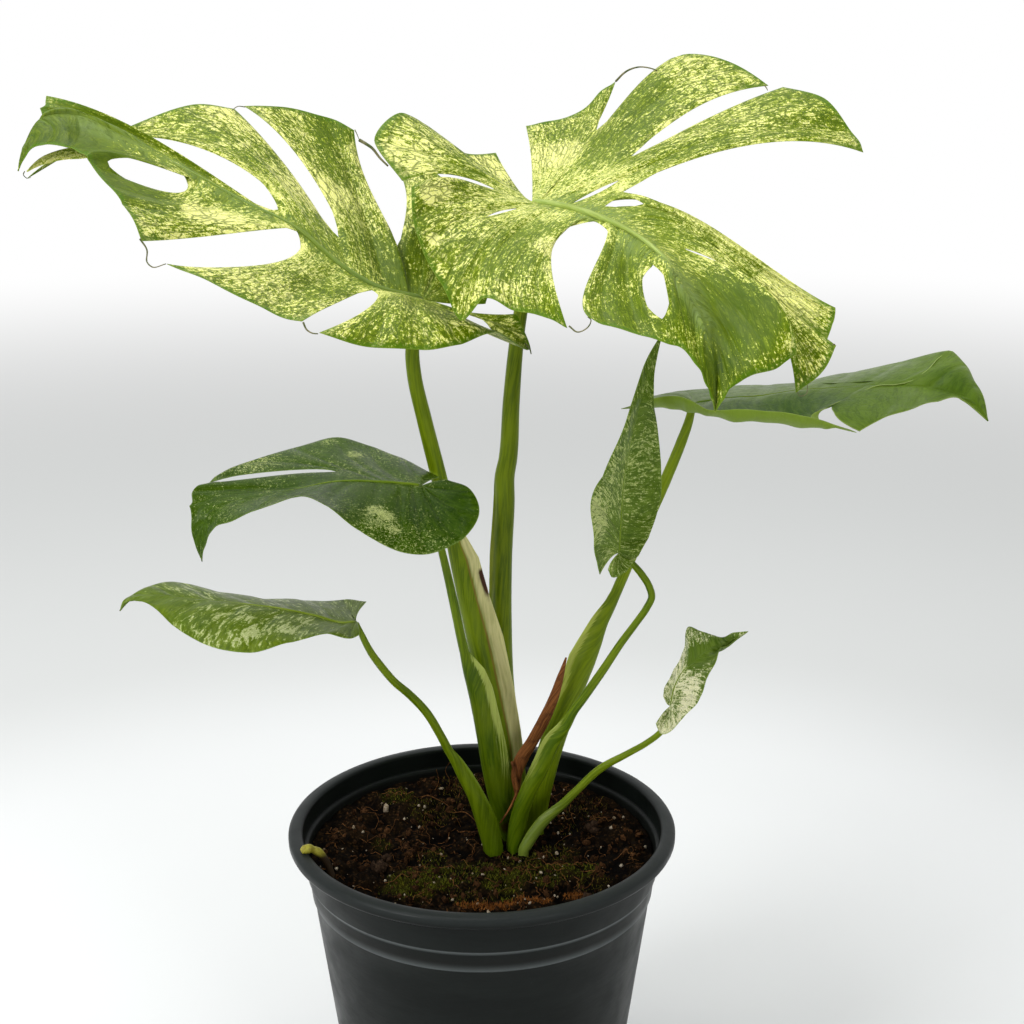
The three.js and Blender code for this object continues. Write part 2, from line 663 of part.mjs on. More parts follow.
// The smooth curve through points that lie at equal steps of v from 0 to 1.
function through(points, v) {
  const last = points.length - 1;
  const sum = new THREE.Vector3();
  for (let i = 0; i <= last; i += 1) {
    let weight = 1;
    for (let j = 0; j <= last; j += 1) {
      if (j !== i) {
        weight *= (v * last - j) / (i - j);
      }
    }
    sum.addScaledVector(points[i], weight);
  }
  return sum;
}

function toVectors(rows) {
  return rows.map((row) => new THREE.Vector3(row[0], row[1], row[2]));
}

// Places along the midrib at which rows of facets start.
function midribStations(leaf, step) {
  const roots = new Set([0, 1]);
  for (const lobe of [...leaf.far, ...leaf.near]) {
    for (const vein of lobe) {
      roots.add(vein[0]);
    }
  }
  const sorted = [...roots].sort((a, b) => a - b);
  const stations = [];
  for (let i = 0; i + 1 < sorted.length; i += 1) {
    const span = sorted[i + 1] - sorted[i];
    const parts = Math.max(1, Math.ceil(span / step - 1e-6));
    for (let k = 0; k < parts; k += 1) {
      stations.push(sorted[i] + (span * k) / parts);
    }
  }
  stations.push(1);
  return stations;
}

// The columns of facets of one lobe: its side veins and the lines between.
function lobeColumns(lobe, stations, fan) {
  const columns = [];
  for (let i = 0; i < lobe.length; i += 1) {
    const here = lobe[i][0];
    columns.push({ order: i, root: here });
    if (i + 1 < lobe.length) {
      const next = lobe[i + 1][0];
      if (next - here < 1e-6) {
        for (let k = 1; k < fan; k += 1) {
          columns.push({ order: i + k / fan, root: here });
        }
      } else {
        for (const station of stations) {
          if (station > here + 1e-6 && station < next - 1e-6) {
            columns.push({ order: i + (station - here) / (next - here), root: station });
          }
        }
      }
    }
  }
  return columns;
}

// How far a slit stands open at row j: 0 is closed, 1 is its full width.
function slitOpening(j, openings, rows) {
  const ramp = Math.max(1, 0.12 * rows);
  let share = 0;
  for (const [from, to] of openings) {
    const first = Math.round(from * rows);
    const last = to < 1 ? Math.round(to * rows) : Infinity;
    if (j > first && j < last) {
      share = Math.sqrt(Math.min(1, (j - first) / ramp));
      if (last < Infinity) {
        share *= Math.sqrt(Math.min(1, (last - j) / ramp));
      }
    }
  }
  return share;
}

// The middle surface of a blade as points and triangles.
function bladeSurface(leaf, rows, step, fan) {
  const midribPoints = toVectors(leaf.midrib);
  const midrib = smoothLine(chordKnots(midribPoints), midribPoints);
  const stations = midribStations(leaf, step);
  const points = stations.map((station) => midrib(station));
  const triangles = [];
  const tipIndex = stations.length - 1;

  function stationIndex(root) {
    return stations.findIndex((station) => Math.abs(station - root) < 1e-6);
  }

  function makeColumns(lobe) {
    const veins = lobe.map(([root, places]) => {
      const start = midrib(root);
      const nodes = places.length > 0 ? [start, ...toVectors(places)] : [start, start];
      return { start, nodes };
    });
    const order = veins.map((vein, index) => index);
    const offsets = [];
    for (let j = 0; j <= rows; j += 1) {
      offsets.push(smoothLine(order, veins.map((vein) => through(vein.nodes, j / rows).sub(vein.start))));
    }
    return lobeColumns(lobe, stations, fan).map((column) => {
      const start = midrib(column.root);
      const cells = [{ index: stationIndex(column.root) }];
      for (let j = 1; j <= rows; j += 1) {
        if (column.root > 1 - 1e-6) {
          cells.push({ index: tipIndex });
        } else {
          cells.push({ index: -1, point: start.clone().add(offsets[j](column.order)) });
        }
      }
      return cells;
    });
  }

  function joinLobes(left, right, openings) {
    for (let j = 1; j <= rows; j += 1) {
      const share = slitOpening(j, openings, rows);
      const middle = left[j].point.clone().add(right[j].point).multiplyScalar(0.5);
      left[j].point.lerpVectors(middle, left[j].point, share);
      if (share === 0) {
        right[j] = left[j];
      } else {
        right[j].point.lerpVectors(middle, right[j].point, share);
      }
    }
  }

  function addHalf(lobes, openings, flip) {
    const halves = lobes.map(makeColumns);
    for (let k = 1; k < halves.length; k += 1) {
      const previous = halves[k - 1];
      joinLobes(previous[previous.length - 1], halves[k][0], openings[k - 1]);
    }
    for (const columns of halves) {
      for (const cell of columns.flat()) {
        if (cell.index < 0) {
          cell.index = points.length;
          points.push(cell.point);
        }
      }
      for (let i = 0; i + 1 < columns.length; i += 1) {
        for (let j = 0; j < rows; j += 1) {
          const a = columns[i][j].index;
          const b = columns[i + 1][j].index;
          const c = columns[i + 1][j + 1].index;
          const d = columns[i][j + 1].index;
          addTriangle(a, b, c, flip);
          addTriangle(a, c, d, flip);
        }
      }
    }
  }

  function addTriangle(a, b, c, flip) {
    if (a !== b && b !== c && c !== a) {
      triangles.push(flip ? [a, c, b] : [a, b, c]);
    }
  }

  addHalf(leaf.far, leaf.farOpen, false);
  addHalf(leaf.near, leaf.nearOpen, true);
  return { points, triangles };
}

function triangleNormal(points, triangle) {
  const ab = points[triangle[1]].clone().sub(points[triangle[0]]);
  const ac = points[triangle[2]].clone().sub(points[triangle[0]]);
  return ab.cross(ac);
}

// A closed sheet: the surface moved half the thickness to either side, with
// walls along every edge. Both faces are split into triangles alike.
function thickSheet(surface, thickness, faces) {
  const { points, triangles } = surface;
  const sum = new THREE.Vector3();
  for (const triangle of triangles) {
    sum.add(triangleNormal(points, triangle));
  }
  const turned = sum.dot(new THREE.Vector3(...faces)) < 0;
  const upper = turned ? triangles.map(([a, b, c]) => [a, c, b]) : triangles;
  const normals = points.map(() => new THREE.Vector3());
  for (const triangle of upper) {
    const normal = triangleNormal(points, triangle);
    for (const index of triangle) {
      normals[index].add(normal);
    }
  }
  const count = points.length;
  const positions = [];
  for (const side of [0.5, -0.5]) {
    points.forEach((point, index) => {
      const moved = point.clone().addScaledVector(normals[index].clone().normalize(), side * thickness);
      positions.push(moved.x, moved.y, moved.z);
    });
  }
  const indices = [];
  const edges = new Set();
  for (const [a, b, c] of upper) {
    indices.push(a, b, c);
    indices.push(a + count, c + count, b + count);
    edges.add(`${a},${b}`);
    edges.add(`${b},${c}`);
    edges.add(`${c},${a}`);
  }
  for (const edge of edges) {
    const [a, b] = edge.split(",").map(Number);
    if (!edges.has(`${b},${a}`)) {
      indices.push(b, a, a + count);
      indices.push(b, a + count, b + count);
    }
  }
  return indexedGeometry(positions, indices);
}

function indexedGeometry(positions, indices) {
  const geometry = new THREE.BufferGeometry();
  geometry.setAttribute("position", new THREE.Float32BufferAttribute(positions, 3));
  geometry.setIndex(indices);
  return geometry;
}

// A round or winged stalk through its rows, down to its foot in the soil.
function stalkGeometry({ rows, foot }) {
  const [footX, footY, footRadius] = foot;
  const all = [
    ...rows,
    [footX, footY, STEM_COLLAR_Z, footRadius, footRadius, footRadius],
  ];
  const centres = toVectors(all);
  const knots = chordKnots(centres);
  const centreAt = smoothLine(knots, centres);
  const reach = all.map((row) => new THREE.Vector3(row[3], row[4], row[5]));
  const sections = [];
  for (let i = 0; i + 1 < all.length; i += 1) {
    for (let k = 0; k < STEM_STEPS; k += 1) {
      const share = k / STEM_STEPS;
      const place = knots[i] + (knots[i + 1] - knots[i]) * share;
      const up = centreAt(Math.max(0, place - 0.01)).sub(centreAt(Math.min(1, place + 0.01)));
      sections.push({ centre: centreAt(place), up, reach: reach[i].clone().lerp(reach[i + 1], share) });
    }
  }
  const upright = new THREE.Vector3(0, 0, 1);
  const footReach = reach[reach.length - 1];
  sections.push({ centre: centres[centres.length - 1], up: upright, reach: footReach });
  const footEnd = new THREE.Vector3(footX, footY, STEM_HOLE_FLOOR + GAP);
  sections.push({ centre: footEnd, up: upright, reach: footReach });
  return loft(sections);
}

// Skin over sections listed from the top down.
function loft(sections) {
  const positions = [];
  const indices = [];
  for (const { centre, up, reach } of sections) {
    const across = new THREE.Vector3(up.z, 0, -up.x).normalize();
    const back = up.clone().normalize().cross(across).normalize();
    for (let k = 0; k < STEM_SIDES; k += 1) {
      const angle = (2 * Math.PI * k) / STEM_SIDES;
      const side = Math.cos(angle) > 0 ? reach.y : reach.x;
      const point = centre.clone();
      point.addScaledVector(across, Math.cos(angle) * side);
      point.addScaledVector(back, Math.sin(angle) * reach.z);
      positions.push(point.x, point.y, point.z);
    }
  }
  for (let i = 0; i + 1 < sections.length; i += 1) {
    for (let k = 0; k < STEM_SIDES; k += 1) {
      const next = (k + 1) % STEM_SIDES;
      const a = i * STEM_SIDES + k;
      const b = i * STEM_SIDES + next;
      const c = (i + 1) * STEM_SIDES + next;
      const d = (i + 1) * STEM_SIDES + k;
      indices.push(a, c, b);
      indices.push(a, d, c);
    }
  }
  const base = (sections.length - 1) * STEM_SIDES;
  for (let k = 1; k + 1 < STEM_SIDES; k += 1) {
    indices.push(0, k, k + 1);
    indices.push(base, base + k + 1, base + k);
  }
  return indexedGeometry(positions, indices);
}

const wasm = await Module();
wasm.setup();

function solidFrom(geometry) {
  const bare = geometry.index ? geometry.toNonIndexed() : geometry.clone();
  bare.deleteAttribute("normal");
  bare.deleteAttribute("uv");
  const merged = mergeVertices(bare, 1e-4);
  const vertProperties = new Float32Array(merged.attributes.position.array);
  const triVerts = new Uint32Array(merged.index.array);
  return new wasm.Manifold(new wasm.Mesh({ numProp: 3, vertProperties, triVerts }));
}

function geometryFrom(solid) {
  const mesh = solid.getMesh();
  return indexedGeometry([...mesh.vertProperties], [...mesh.triVerts]);
}

// An upright round cutter between two heights.
function uprightCutter(x, y, radius, bottom, top, segments) {
  const geometry = new THREE.CylinderGeometry(radius, radius, top - bottom, segments);
  geometry.rotateX(Math.PI / 2);
  geometry.translate(x, y, (top + bottom) / 2);
  return solidFrom(geometry);
}

function wallRadius(z) {
  return POT_FOOT_RADIUS + ((LOWER_LINE_RADIUS - POT_FOOT_RADIUS) * z) / LOWER_LINE_Z;
}

function potGeometry() {
  const crown = POT_HEIGHT - LIP_ROUNDING;
  const outside = [
    [0, 0],
    [POT_FOOT_RADIUS - FOOT_CHAMFER, 0],
    [wallRadius(FOOT_CHAMFER), FOOT_CHAMFER],
    [LOWER_LINE_RADIUS, LOWER_LINE_Z],
    [LOWER_LINE_RADIUS + LINE_STEP, LOWER_LINE_Z + LINE_HEIGHT],
    [UPPER_LINE_RADIUS, UPPER_LINE_Z],
    [UPPER_LINE_RADIUS + LINE_STEP, UPPER_LINE_Z + LINE_HEIGHT],
    [COLLAR_RADIUS, LIP_BOTTOM],
    [POT_RIM_RADIUS - LIP_ROUNDING, LIP_BOTTOM],
    [POT_RIM_RADIUS, LIP_BOTTOM + LIP_ROUNDING],
    [POT_RIM_RADIUS, crown],
    [POT_RIM_RADIUS - LIP_ROUNDING, POT_HEIGHT - LIP_ROUNDING / 4],
    [POT_RIM_RADIUS - 2.5 * LIP_ROUNDING, POT_HEIGHT],
    [POT_MOUTH_RADIUS + LIP_ROUNDING, POT_HEIGHT],
  ];
  const inside = [
    [POT_MOUTH_RADIUS, crown],
    [POT_MOUTH_RADIUS, LEDGE_Z + LINE_HEIGHT],
    [POT_MOUTH_RADIUS - LEDGE_WIDTH, LEDGE_Z],
    [UPPER_LINE_RADIUS - WALL_THICKNESS, UPPER_LINE_Z],
    [LOWER_LINE_RADIUS - WALL_THICKNESS, LOWER_LINE_Z],
    [wallRadius(FLOOR_THICKNESS) - WALL_THICKNESS, FLOOR_THICKNESS],
    [0, FLOOR_THICKNESS],
  ];
  const profile = [...outside, ...inside].map(([r, z]) => new THREE.Vector2(r, z));
  const turned = new THREE.LatheGeometry(profile, ROUND_SEGMENTS);
  turned.rotateX(Math.PI / 2);
  let solid = solidFrom(turned);
  for (let i = 0; i < DRAIN_HOLES; i += 1) {
    const angle = (2 * Math.PI * (i + 0.5)) / DRAIN_HOLES;
    const x = DRAIN_RING_RADIUS * Math.cos(angle);
    const y = DRAIN_RING_RADIUS * Math.sin(angle);
    const cutter = uprightCutter(x, y, DRAIN_RADIUS, -1, FLOOR_THICKNESS + 1, DRAIN_SEGMENTS);
    solid = solid.subtract(cutter);
  }
  return geometryFrom(solid);
}

// A repeatable stream of numbers between 0 and 1.
function numberStream(seed) {
  let state = seed;
  return function next() {
    state = (state * 16807) % 2147483647;
    return state / 2147483647;
  };
}

function scatteredCrumbs() {
  const next = numberStream(4711);
  const crumbs = [];
  for (let i = 0; i < CRUMBS; i += 1) {
    const distance = CRUMB_REACH * Math.sqrt(next());
    const angle = 2 * Math.PI * next();
    const radius = 2.5 + 3 * next();
    crumbs.push([distance * Math.cos(angle), distance * Math.sin(angle), radius, 0.4 + 1.1 * next()]);
  }
  return crumbs;
}

const SOIL_BUMPS = [...MOSS_MOUNDS, ...STONES, ...scatteredCrumbs()];
const SOIL_EDGE_RADIUS = UPPER_LINE_RADIUS - WALL_THICKNESS - GAP;

function soilHeight(x, y) {
  let rise = 0;
  for (const [bumpX, bumpY, radius, height] of SOIL_BUMPS) {
    const near = 1 - ((x - bumpX) ** 2 + (y - bumpY) ** 2) / radius ** 2;
    if (near > 0) {
      rise = Math.max(rise, height * near);
    }
  }
  const edge = Math.min(1, (SOIL_EDGE_RADIUS - Math.hypot(x, y)) / SOIL_EDGE_SLOPE);
  return SOIL_Z + rise * Math.max(0, edge);
}

function soilGeometry() {
  const rings = [
    [wallRadius(FLOOR_THICKNESS) - WALL_THICKNESS - GAP, FLOOR_THICKNESS + GAP],
    [LOWER_LINE_RADIUS - WALL_THICKNESS - GAP, LOWER_LINE_Z],
    [SOIL_EDGE_RADIUS, UPPER_LINE_Z],
  ];
  const positions = [0, 0, FLOOR_THICKNESS + GAP];
  const indices = [];
  const total = rings.length + SOIL_RINGS;
  for (let i = 0; i < total; i += 1) {
    for (let k = 0; k < SOIL_SEGMENTS; k += 1) {
      const angle = (2 * Math.PI * k) / SOIL_SEGMENTS;
      const step = i - rings.length;
      const radius = step < 0 ? rings[i][0] : SOIL_EDGE_RADIUS * (1 - step / SOIL_RINGS);
      const x = radius * Math.cos(angle);
      const y = radius * Math.sin(angle);
      positions.push(x, y, step < 0 ? rings[i][1] : soilHeight(x, y));
    }
  }
  positions.push(0, 0, soilHeight(0, 0));
  const last = 1 + total * SOIL_SEGMENTS;
  for (let k = 0; k < SOIL_SEGMENTS; k += 1) {
    const next = (k + 1) % SOIL_SEGMENTS;
    indices.push(0, 1 + next, 1 + k);
    for (let i = 0; i + 1 < total; i += 1) {
      const a = 1 + i * SOIL_SEGMENTS + k;
      const b = 1 + i * SOIL_SEGMENTS + next;
      indices.push(a, b, b + SOIL_SEGMENTS);
      indices.push(a, b + SOIL_SEGMENTS, a + SOIL_SEGMENTS);
    }
    const top = 1 + (total - 1) * SOIL_SEGMENTS;
    indices.push(top + k, top + next, last);
  }
  let solid = solidFrom(indexedGeometry(positions, indices));
  for (const { foot } of [...Object.values(STALKS), DRY_SHEATH, ROOT_TIP]) {
    const [x, y, radius] = foot;
    const cutter = uprightCutter(x, y, radius + GAP, STEM_HOLE_FLOOR, POT_HEIGHT, STEM_HOLE_SEGMENTS);
    solid = solid.subtract(cutter);
  }
  return geometryFrom(solid);
}

const group = new THREE.Group();

function addPiece(name, geometry, colour, roughness) {
  const material = new THREE.MeshStandardMaterial({ color: colour, roughness, metalness: 0 });
  const mesh = new THREE.Mesh(geometry, material);
  mesh.name = name;
  group.add(mesh);
}

addPiece("pot", potGeometry(), 0x2b2f2f, 0.5);
addPiece("soil", soilGeometry(), 0x2c2117, 0.95);

for (const [key, leaf] of Object.entries(LEAVES)) {
  const detail = key === "a" || key === "b" ? LARGE_BLADE : SMALL_BLADE;
  const surface = bladeSurface(leaf, ...detail);
  const geometry = thickSheet(surface, BLADE_THICKNESS, leaf.faces);
  addPiece(`leaf_${key}`, geometry, LEAF_COLOURS[key], 0.45);
}
for (const [key, stalk] of Object.entries(STALKS)) {
  addPiece(`stalk_${key}`, stalkGeometry(stalk), stalk.colour, 0.5);
}
addPiece("dry_sheath", stalkGeometry(DRY_SHEATH), DRY_SHEATH.colour, 0.8);
addPiece("root_tip", stalkGeometry(ROOT_TIP), ROOT_TIP.colour, 0.6);

export default group;
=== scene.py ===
import bpy
import bmesh
import math
import random
import numpy as np
from mathutils import Euler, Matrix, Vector, noise


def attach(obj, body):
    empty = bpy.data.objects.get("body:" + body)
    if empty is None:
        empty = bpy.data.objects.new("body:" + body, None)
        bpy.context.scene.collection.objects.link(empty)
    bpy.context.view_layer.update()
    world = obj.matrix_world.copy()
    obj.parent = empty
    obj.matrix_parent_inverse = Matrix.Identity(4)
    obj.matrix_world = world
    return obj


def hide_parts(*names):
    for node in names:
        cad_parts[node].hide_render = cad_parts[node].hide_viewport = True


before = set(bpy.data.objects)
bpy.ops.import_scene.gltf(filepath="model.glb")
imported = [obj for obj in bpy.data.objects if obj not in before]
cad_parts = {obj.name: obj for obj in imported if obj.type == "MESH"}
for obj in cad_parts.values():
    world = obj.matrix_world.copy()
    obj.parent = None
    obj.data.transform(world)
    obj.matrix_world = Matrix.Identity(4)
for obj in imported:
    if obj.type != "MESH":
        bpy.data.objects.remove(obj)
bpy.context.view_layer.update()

# All the numbers below are in millimetres, in the frame of the CAD model.
MM = 0.001
BLADE_THICKNESS = 0.55
SOIL_Z = 126.8
SOIL_RADIUS = 72.3
# The distance given to a point that no slit or free rim is near.
FAR_OFF = 99


# The blades. Each side is a list of lobes, each lobe a list of lines that leave the
# midrib: the share of the midrib where the line starts, then the points it passes
# on its way outwards. The open spans are shares of the way outwards in which the
# slit between two lobes is open; near the midrib they are short openings.
LEAVES = {
    "a": {
        "faces": (0.4, -0.5, 0.8),
        "midrib": [
            (-23, 22, 366), (-42, 16, 372), (-56, 15, 381), (-72, 19, 394), (-95, 21, 406),
            (-118, 22, 419), (-141, 22, 431), (-159, 21, 439), (-170, 15, 438), (-175, 8, 429),
            (-177, 2, 419),
        ],
        "far": [
            [
                (0, -11, 30, 363, 2, 38, 362), (0, -8, 42, 372, 6, 58, 376),
                (0, -13, 55, 384, -6, 78, 397), (0.01, -22, 57, 391, -22, 90, 411),
                (0.03, -34, 40, 382, -32, 62, 396, -36, 84, 412),
            ],
            [
                (0.03, -36, 45, 388, -48, 72, 406, -56, 96, 428),
                (0.08, -51, 63, 400, -69, 98, 434), (0.13, -59, 60, 405, -85, 92, 438),
                (0.17, -59, 42, 395, -77, 66, 419, -101, 80, 439),
            ],
            [
                (0.17, -63, 40, 393, -82, 62, 416, -105, 78, 438),
                (0.22, -87, 50, 417, -122, 68, 440), (0.27, -101, 46, 423, -151, 50, 430),
                (0.32, -95, 38, 416, -137, 44, 429, -183, 34, 413),
            ],
            [
                (0.32, -98, 27, 409, -133, 31, 431, -172, 32, 446),
                (0.6, -146, 28, 434, -173, 25, 441), (0.78, -160, 22, 440, -174, 16, 432),
                (0.9, -172, 14, 435, -177, 9, 425), (1,),
            ],
        ],
        "far_open": [[(0.33, 1)], [(0.27, 1)], [(0.14, 1)]],
        "near": [
            [(0, -5, 10, 363, 15, 8, 363), (0, 0, 4, 362, 20, -4, 351)],
            [
                (0, -2, 0, 358, 20, -4, 350), (0, -6, -12, 365, 7, -20, 360),
                (0, -15, -18, 368, -6, -36, 359), (0.02, -24, -22, 370, -19, -48, 359),
                (0.06, -32, -24, 373, -38, -57, 362), (0.11, -40, -28, 372, -56, -62, 368),
            ],
            [
                (0.11, -52, -24, 373, -62, -62, 372), (0.18, -65, -24, 378, -76, -62, 377),
                (0.24, -73, -22, 384, -93, -60, 385),
                (0.31, -74, -2, 386, -92, -32, 387, -110, -56, 392),
            ],
            [
                (0.31, -82, 0, 397, -103, -22, 397, -120, -50, 399),
                (0.45, -108, -8, 405, -129, -36, 411), (0.53, -117, -4, 409, -137, -27, 417),
                (0.6, -116, 10, 410, -132, -2, 415, -146, -14, 425),
            ],
            [
                (0.6, -115, 14, 416, -131, 4, 423, -146, -14, 425),
                (0.8, -154, 8, 431, -156, -4, 429), (0.88, -164, 8, 434, -166, 0, 429),
                (0.94, -173, 6, 430, -173, 2, 426), (1,),
            ],
        ],
        "near_open": [[(0.3, 0.62)], [(0.12, 1)], [(0.06, 1)], [(0.12, 0.84)]],
    },
    "b": {
        "faces": (0.1, -0.5, 0.8),
        "midrib": [
            (21, 38, 403), (31, 27, 403), (40, 16, 402), (50, 0, 400), (59, -14, 397),
            (65, -26, 394), (69, -34, 391), (77, -52, 379), (81, -60, 372), (83, -67, 365),
            (84, -74, 356), (84, -80, 343),
        ],
        "far": [
            [
                (0, 21, 72, 417, 19, 100, 430), (0, 28, 74, 418, 29, 105, 431),
                (0, 36, 76, 420, 42, 110, 435), (0.01, 39, 78, 422, 52, 115, 443),
                (0.02, 38, 66, 416, 50, 95, 431, 59, 120, 448),
            ],
            [
                (0.02, 40, 70, 418, 57, 92, 435, 77, 118, 452),
                (0.03, 46, 66, 421, 65, 92, 443, 91, 116, 460),
                (0.04, 51, 60, 420, 74, 86, 441, 109, 106, 456),
                (0.05, 58, 55, 418, 86, 76, 436, 123, 92, 447),
            ],
            [
                (0.05, 59, 50, 418, 92, 64, 434, 127, 76, 447),
                (0.09, 65, 44, 420, 100, 52, 434, 142, 60, 443),
                (0.12, 69, 40, 418, 106, 42, 431, 152, 46, 430),
                (0.15, 73, 36, 416, 112, 34, 427, 155, 40, 423),
            ],
            [
                (0.15, 72, 8, 406, 102, -20, 391, 131, -44, 374),
                (0.22, 72, 7, 405, 102, -21, 389, 131, -45, 372),
            ],
            [
                (0.22, 72, 6, 403, 102, -21, 389, 131, -45, 372),
                (0.27, 75, 3, 402, 102, -22, 387, 130, -46, 368),
                (0.33, 78, 0, 399, 101, -24, 384, 128, -48, 363),
            ],
            [
                (0.33, 78, 0, 398, 102, -24, 383, 131, -50, 361),
                (0.36, 80, -6, 395, 104, -32, 379, 125, -58, 353),
                (0.4, 86, -14, 389, 106, -40, 375, 115, -62, 346),
            ],
            [
                (0.4, 85, -18, 389, 105, -44, 381, 114, -66, 361),
                (0.55, 87, -34, 381, 99, -58, 369, 106, -72, 357),
                (0.7, 88, -50, 371, 93, -66, 362, 96, -76, 355),
                (0.84, 86, -62, 364, 88, -72, 357, 89, -79, 351), (1,),
            ],
        ],
        "far_open": [
            [(0.57, 1)], [(0.05, 0.19), (0.37, 1)], [(0.19, 1)], [(0.08, 0.24)], [(0.8, 1)],
            [(0.24, 1)],
        ],
        "near": [
            [
                (0, 14, 60, 408, 6, 80, 420), (0, 7, 56, 410, -8, 72, 420),
                (0, 0, 52, 417, -23, 70, 432), (0, -4, 46, 419, -34, 60, 437),
                (0, -7, 40, 417, -43, 42, 428), (0.02, 4, 36, 410, -13, 34, 415, -31, 26, 413),
            ],
            [
                (0.02, 5, 30, 409, -11, 18, 415, -26, 4, 413), (0.03, -5, 14, 407, -25, -8, 402),
                (0.04, -3, 6, 401, -21, -18, 391), (0.06, 3, -4, 396, -13, -28, 379),
                (0.08, 5, -8, 394, -6, -38, 368), (0.1, 9, -12, 392, 2, -40, 377),
                (0.15, 17, -18, 390, 13, -44, 373), (0.2, 24, -22, 388, 23, -48, 372),
                (0.26, 30, -2, 394, 28, -34, 383, 33, -52, 368),
            ],
            [
                (0.26, 48, -16, 394, 40, -42, 382, 41, -60, 373),
                (0.34, 51, -20, 392, 46, -44, 380, 48, -62, 370),
                (0.44, 56, -26, 388, 56, -46, 377, 59, -66, 368),
                (0.52, 61, -36, 384, 62, -54, 375, 69, -70, 365),
            ],
            [
                (0.52, 68, -44, 386, 69, -60, 377, 70, -70, 365),
                (0.64, 72, -54, 382, 74, -66, 372, 75, -74, 362),
                (0.76, 78, -62, 373, 78, -70, 365, 79, -78, 357),
                (0.88, 81, -70, 365, 81, -76, 358, 82, -80, 350), (1,),
            ],
        ],
        "near_open": [[(0.3, 1)], [(0.1, 1)], [(0.22, 0.76)]],
        "holes": [("near", 1, 2.25, 0.16, 0.4, 2.4), ("far", 2, 1.9, 0.03, 0.21, 2.2)],
    },
    "c": {
        "faces": (0, -0.2, 1),
        "midrib": [
            (88.5, 35, 320), (102, 33, 322.5), (116, 31, 324), (132, 29, 327), (148.5, 27, 328.5),
            (164.5, 25, 330), (178.5, 23, 330), (192, 20, 328), (201, 17, 325), (207, 14, 317.5),
        ],
        "far": [
            [
                (0, 79, 42, 320.5, 62.5, 36, 319.5), (0, 84, 50, 320, 74.5, 58, 318),
                (0, 89.5, 56, 319, 88, 72, 317.5), (0.08, 103.5, 58, 320, 107.5, 80, 317),
                (0.2, 120, 58, 321.5, 127.5, 84, 317.5), (0.32, 137, 56, 324, 146.5, 82, 319.5),
                (0.42, 154, 52, 327.5, 163, 76, 325), (0.54, 171, 46, 331.5, 181.5, 66, 331.5),
                (0.66, 184.5, 34, 334, 197, 50, 339.5),
            ],
            [
                (0.66, 186.5, 36, 335, 199.5, 51, 339.5), (0.78, 194.5, 31, 335, 203.5, 40, 335),
                (0.9, 201.5, 23, 329.5, 206, 26, 328.5), (1,),
            ],
        ],
        "far_open": [[]],
        "near": [
            [
                (0, 78, 24, 321.5, 57.5, 18, 322), (0, 83, 24, 321.5, 77, 14, 323, 74, 6, 329.5),
                (0, 86, 22, 321, 83.5, 8, 323, 82, -2, 330.5),
                (0.04, 90.5, 18, 321.5, 90.5, 2, 323, 90, -10, 327.5),
                (0.12, 99, 14, 323, 100, -6, 322.5, 100.5, -18, 330),
                (0.22, 111, 12, 323.5, 112, -8, 323, 111.5, -22, 330),
                (0.32, 122, 10, 324.5, 124.5, -10, 321.5, 123.5, -24, 329),
                (0.44, 133.5, 8, 325.5, 133.5, -12, 322.5, 136, -24, 325.5),
                (0.57, 145, 7, 326.5, 130.5, -10, 325.5, 146.5, -20, 321),
            ],
            [
                (0.57, 144, 8, 326.8, 141, -6, 324.2, 148.5, -16, 320.5),
                (0.66, 165.5, 6, 327.5, 159, -10, 324.5), (0.76, 176.5, 8, 328.5, 171, -6, 327.5),
                (0.86, 187, 12, 327.5, 183, 2, 328.5), (0.94, 197, 15, 326, 195, 10, 327.5), (1,),
            ],
        ],
        "near_open": [[(0.44, 1)]],
    },
    "d": {
        "faces": (0, -0.4, 1),
        "midrib": [
            (-24, 4, 293), (-37.5, 3, 294.5), (-59.5, 2, 295), (-73.5, 1, 292.5), (-91, 0, 289),
            (-104.5, -2, 286), (-111, -4, 281), (-113, -6, 274), (-112.5, -8, 264.5),
        ],
        "far": [
            [
                (0, -21, 12, 293, -17.5, 20, 292.5), (0, -28.5, 18, 295, -34, 38, 295.5),
                (0.06, -43.5, 28, 295.5, -48.5, 50, 298), (0.11, -55.5, 32, 297.5, -63, 54, 300.5),
                (0.15, -70, 34, 297, -81, 49, 297.5), (0.18, -76.5, 30, 295.5, -101.5, 30, 295),
                (0.2, -62, 18, 296, -87.5, 24, 293.5, -112, 18, 292),
            ],
            [
                (0.2, -62, 15, 295.5, -86.5, 18, 293, -112, 12, 291),
                (0.45, -89.5, 8, 290.5, -117.5, 6, 290), (0.7, -108, 2, 287.5, -118, 0, 285.5),
                (0.86, -113.5, -4, 278.5, -116.5, -4, 274), (1,),
            ],
        ],
        "far_open": [[(0.28, 0.97)]],
        "near": [
            [
                (0, -19, -1, 296, -13.5, -4, 298), (0, -13.5, -9, 295, -3.5, -15, 296.5),
                (0, -12, -17, 291, 0, -26, 290), (0, -15.5, -21, 287, -6.5, -35, 282),
                (0.03, -23.5, -22, 286, -20, -40, 278), (0.08, -31, -22, 287.5, -33, -40, 280),
                (0.15, -43, -20, 291, -45.5, -37, 286.5),
                (0.26, -57.5, -17, 294.5, -59, -33, 295.5), (0.38, -70, -15, 295, -71, -28, 297.5),
                (0.52, -86, -12, 290.5, -87.5, -23, 290.5),
                (0.68, -100, -9, 286.5, -101, -16, 283), (0.86, -110.5, -8, 276, -110, -10, 274),
                (1,),
            ],
        ],
        "near_open": [],
    },
    "e": {
        "faces": (0, -0.3, 1),
        "midrib": [
            (-49.5, -20, 243), (-54, -22, 243), (-65.5, -22, 246), (-79, -22, 249),
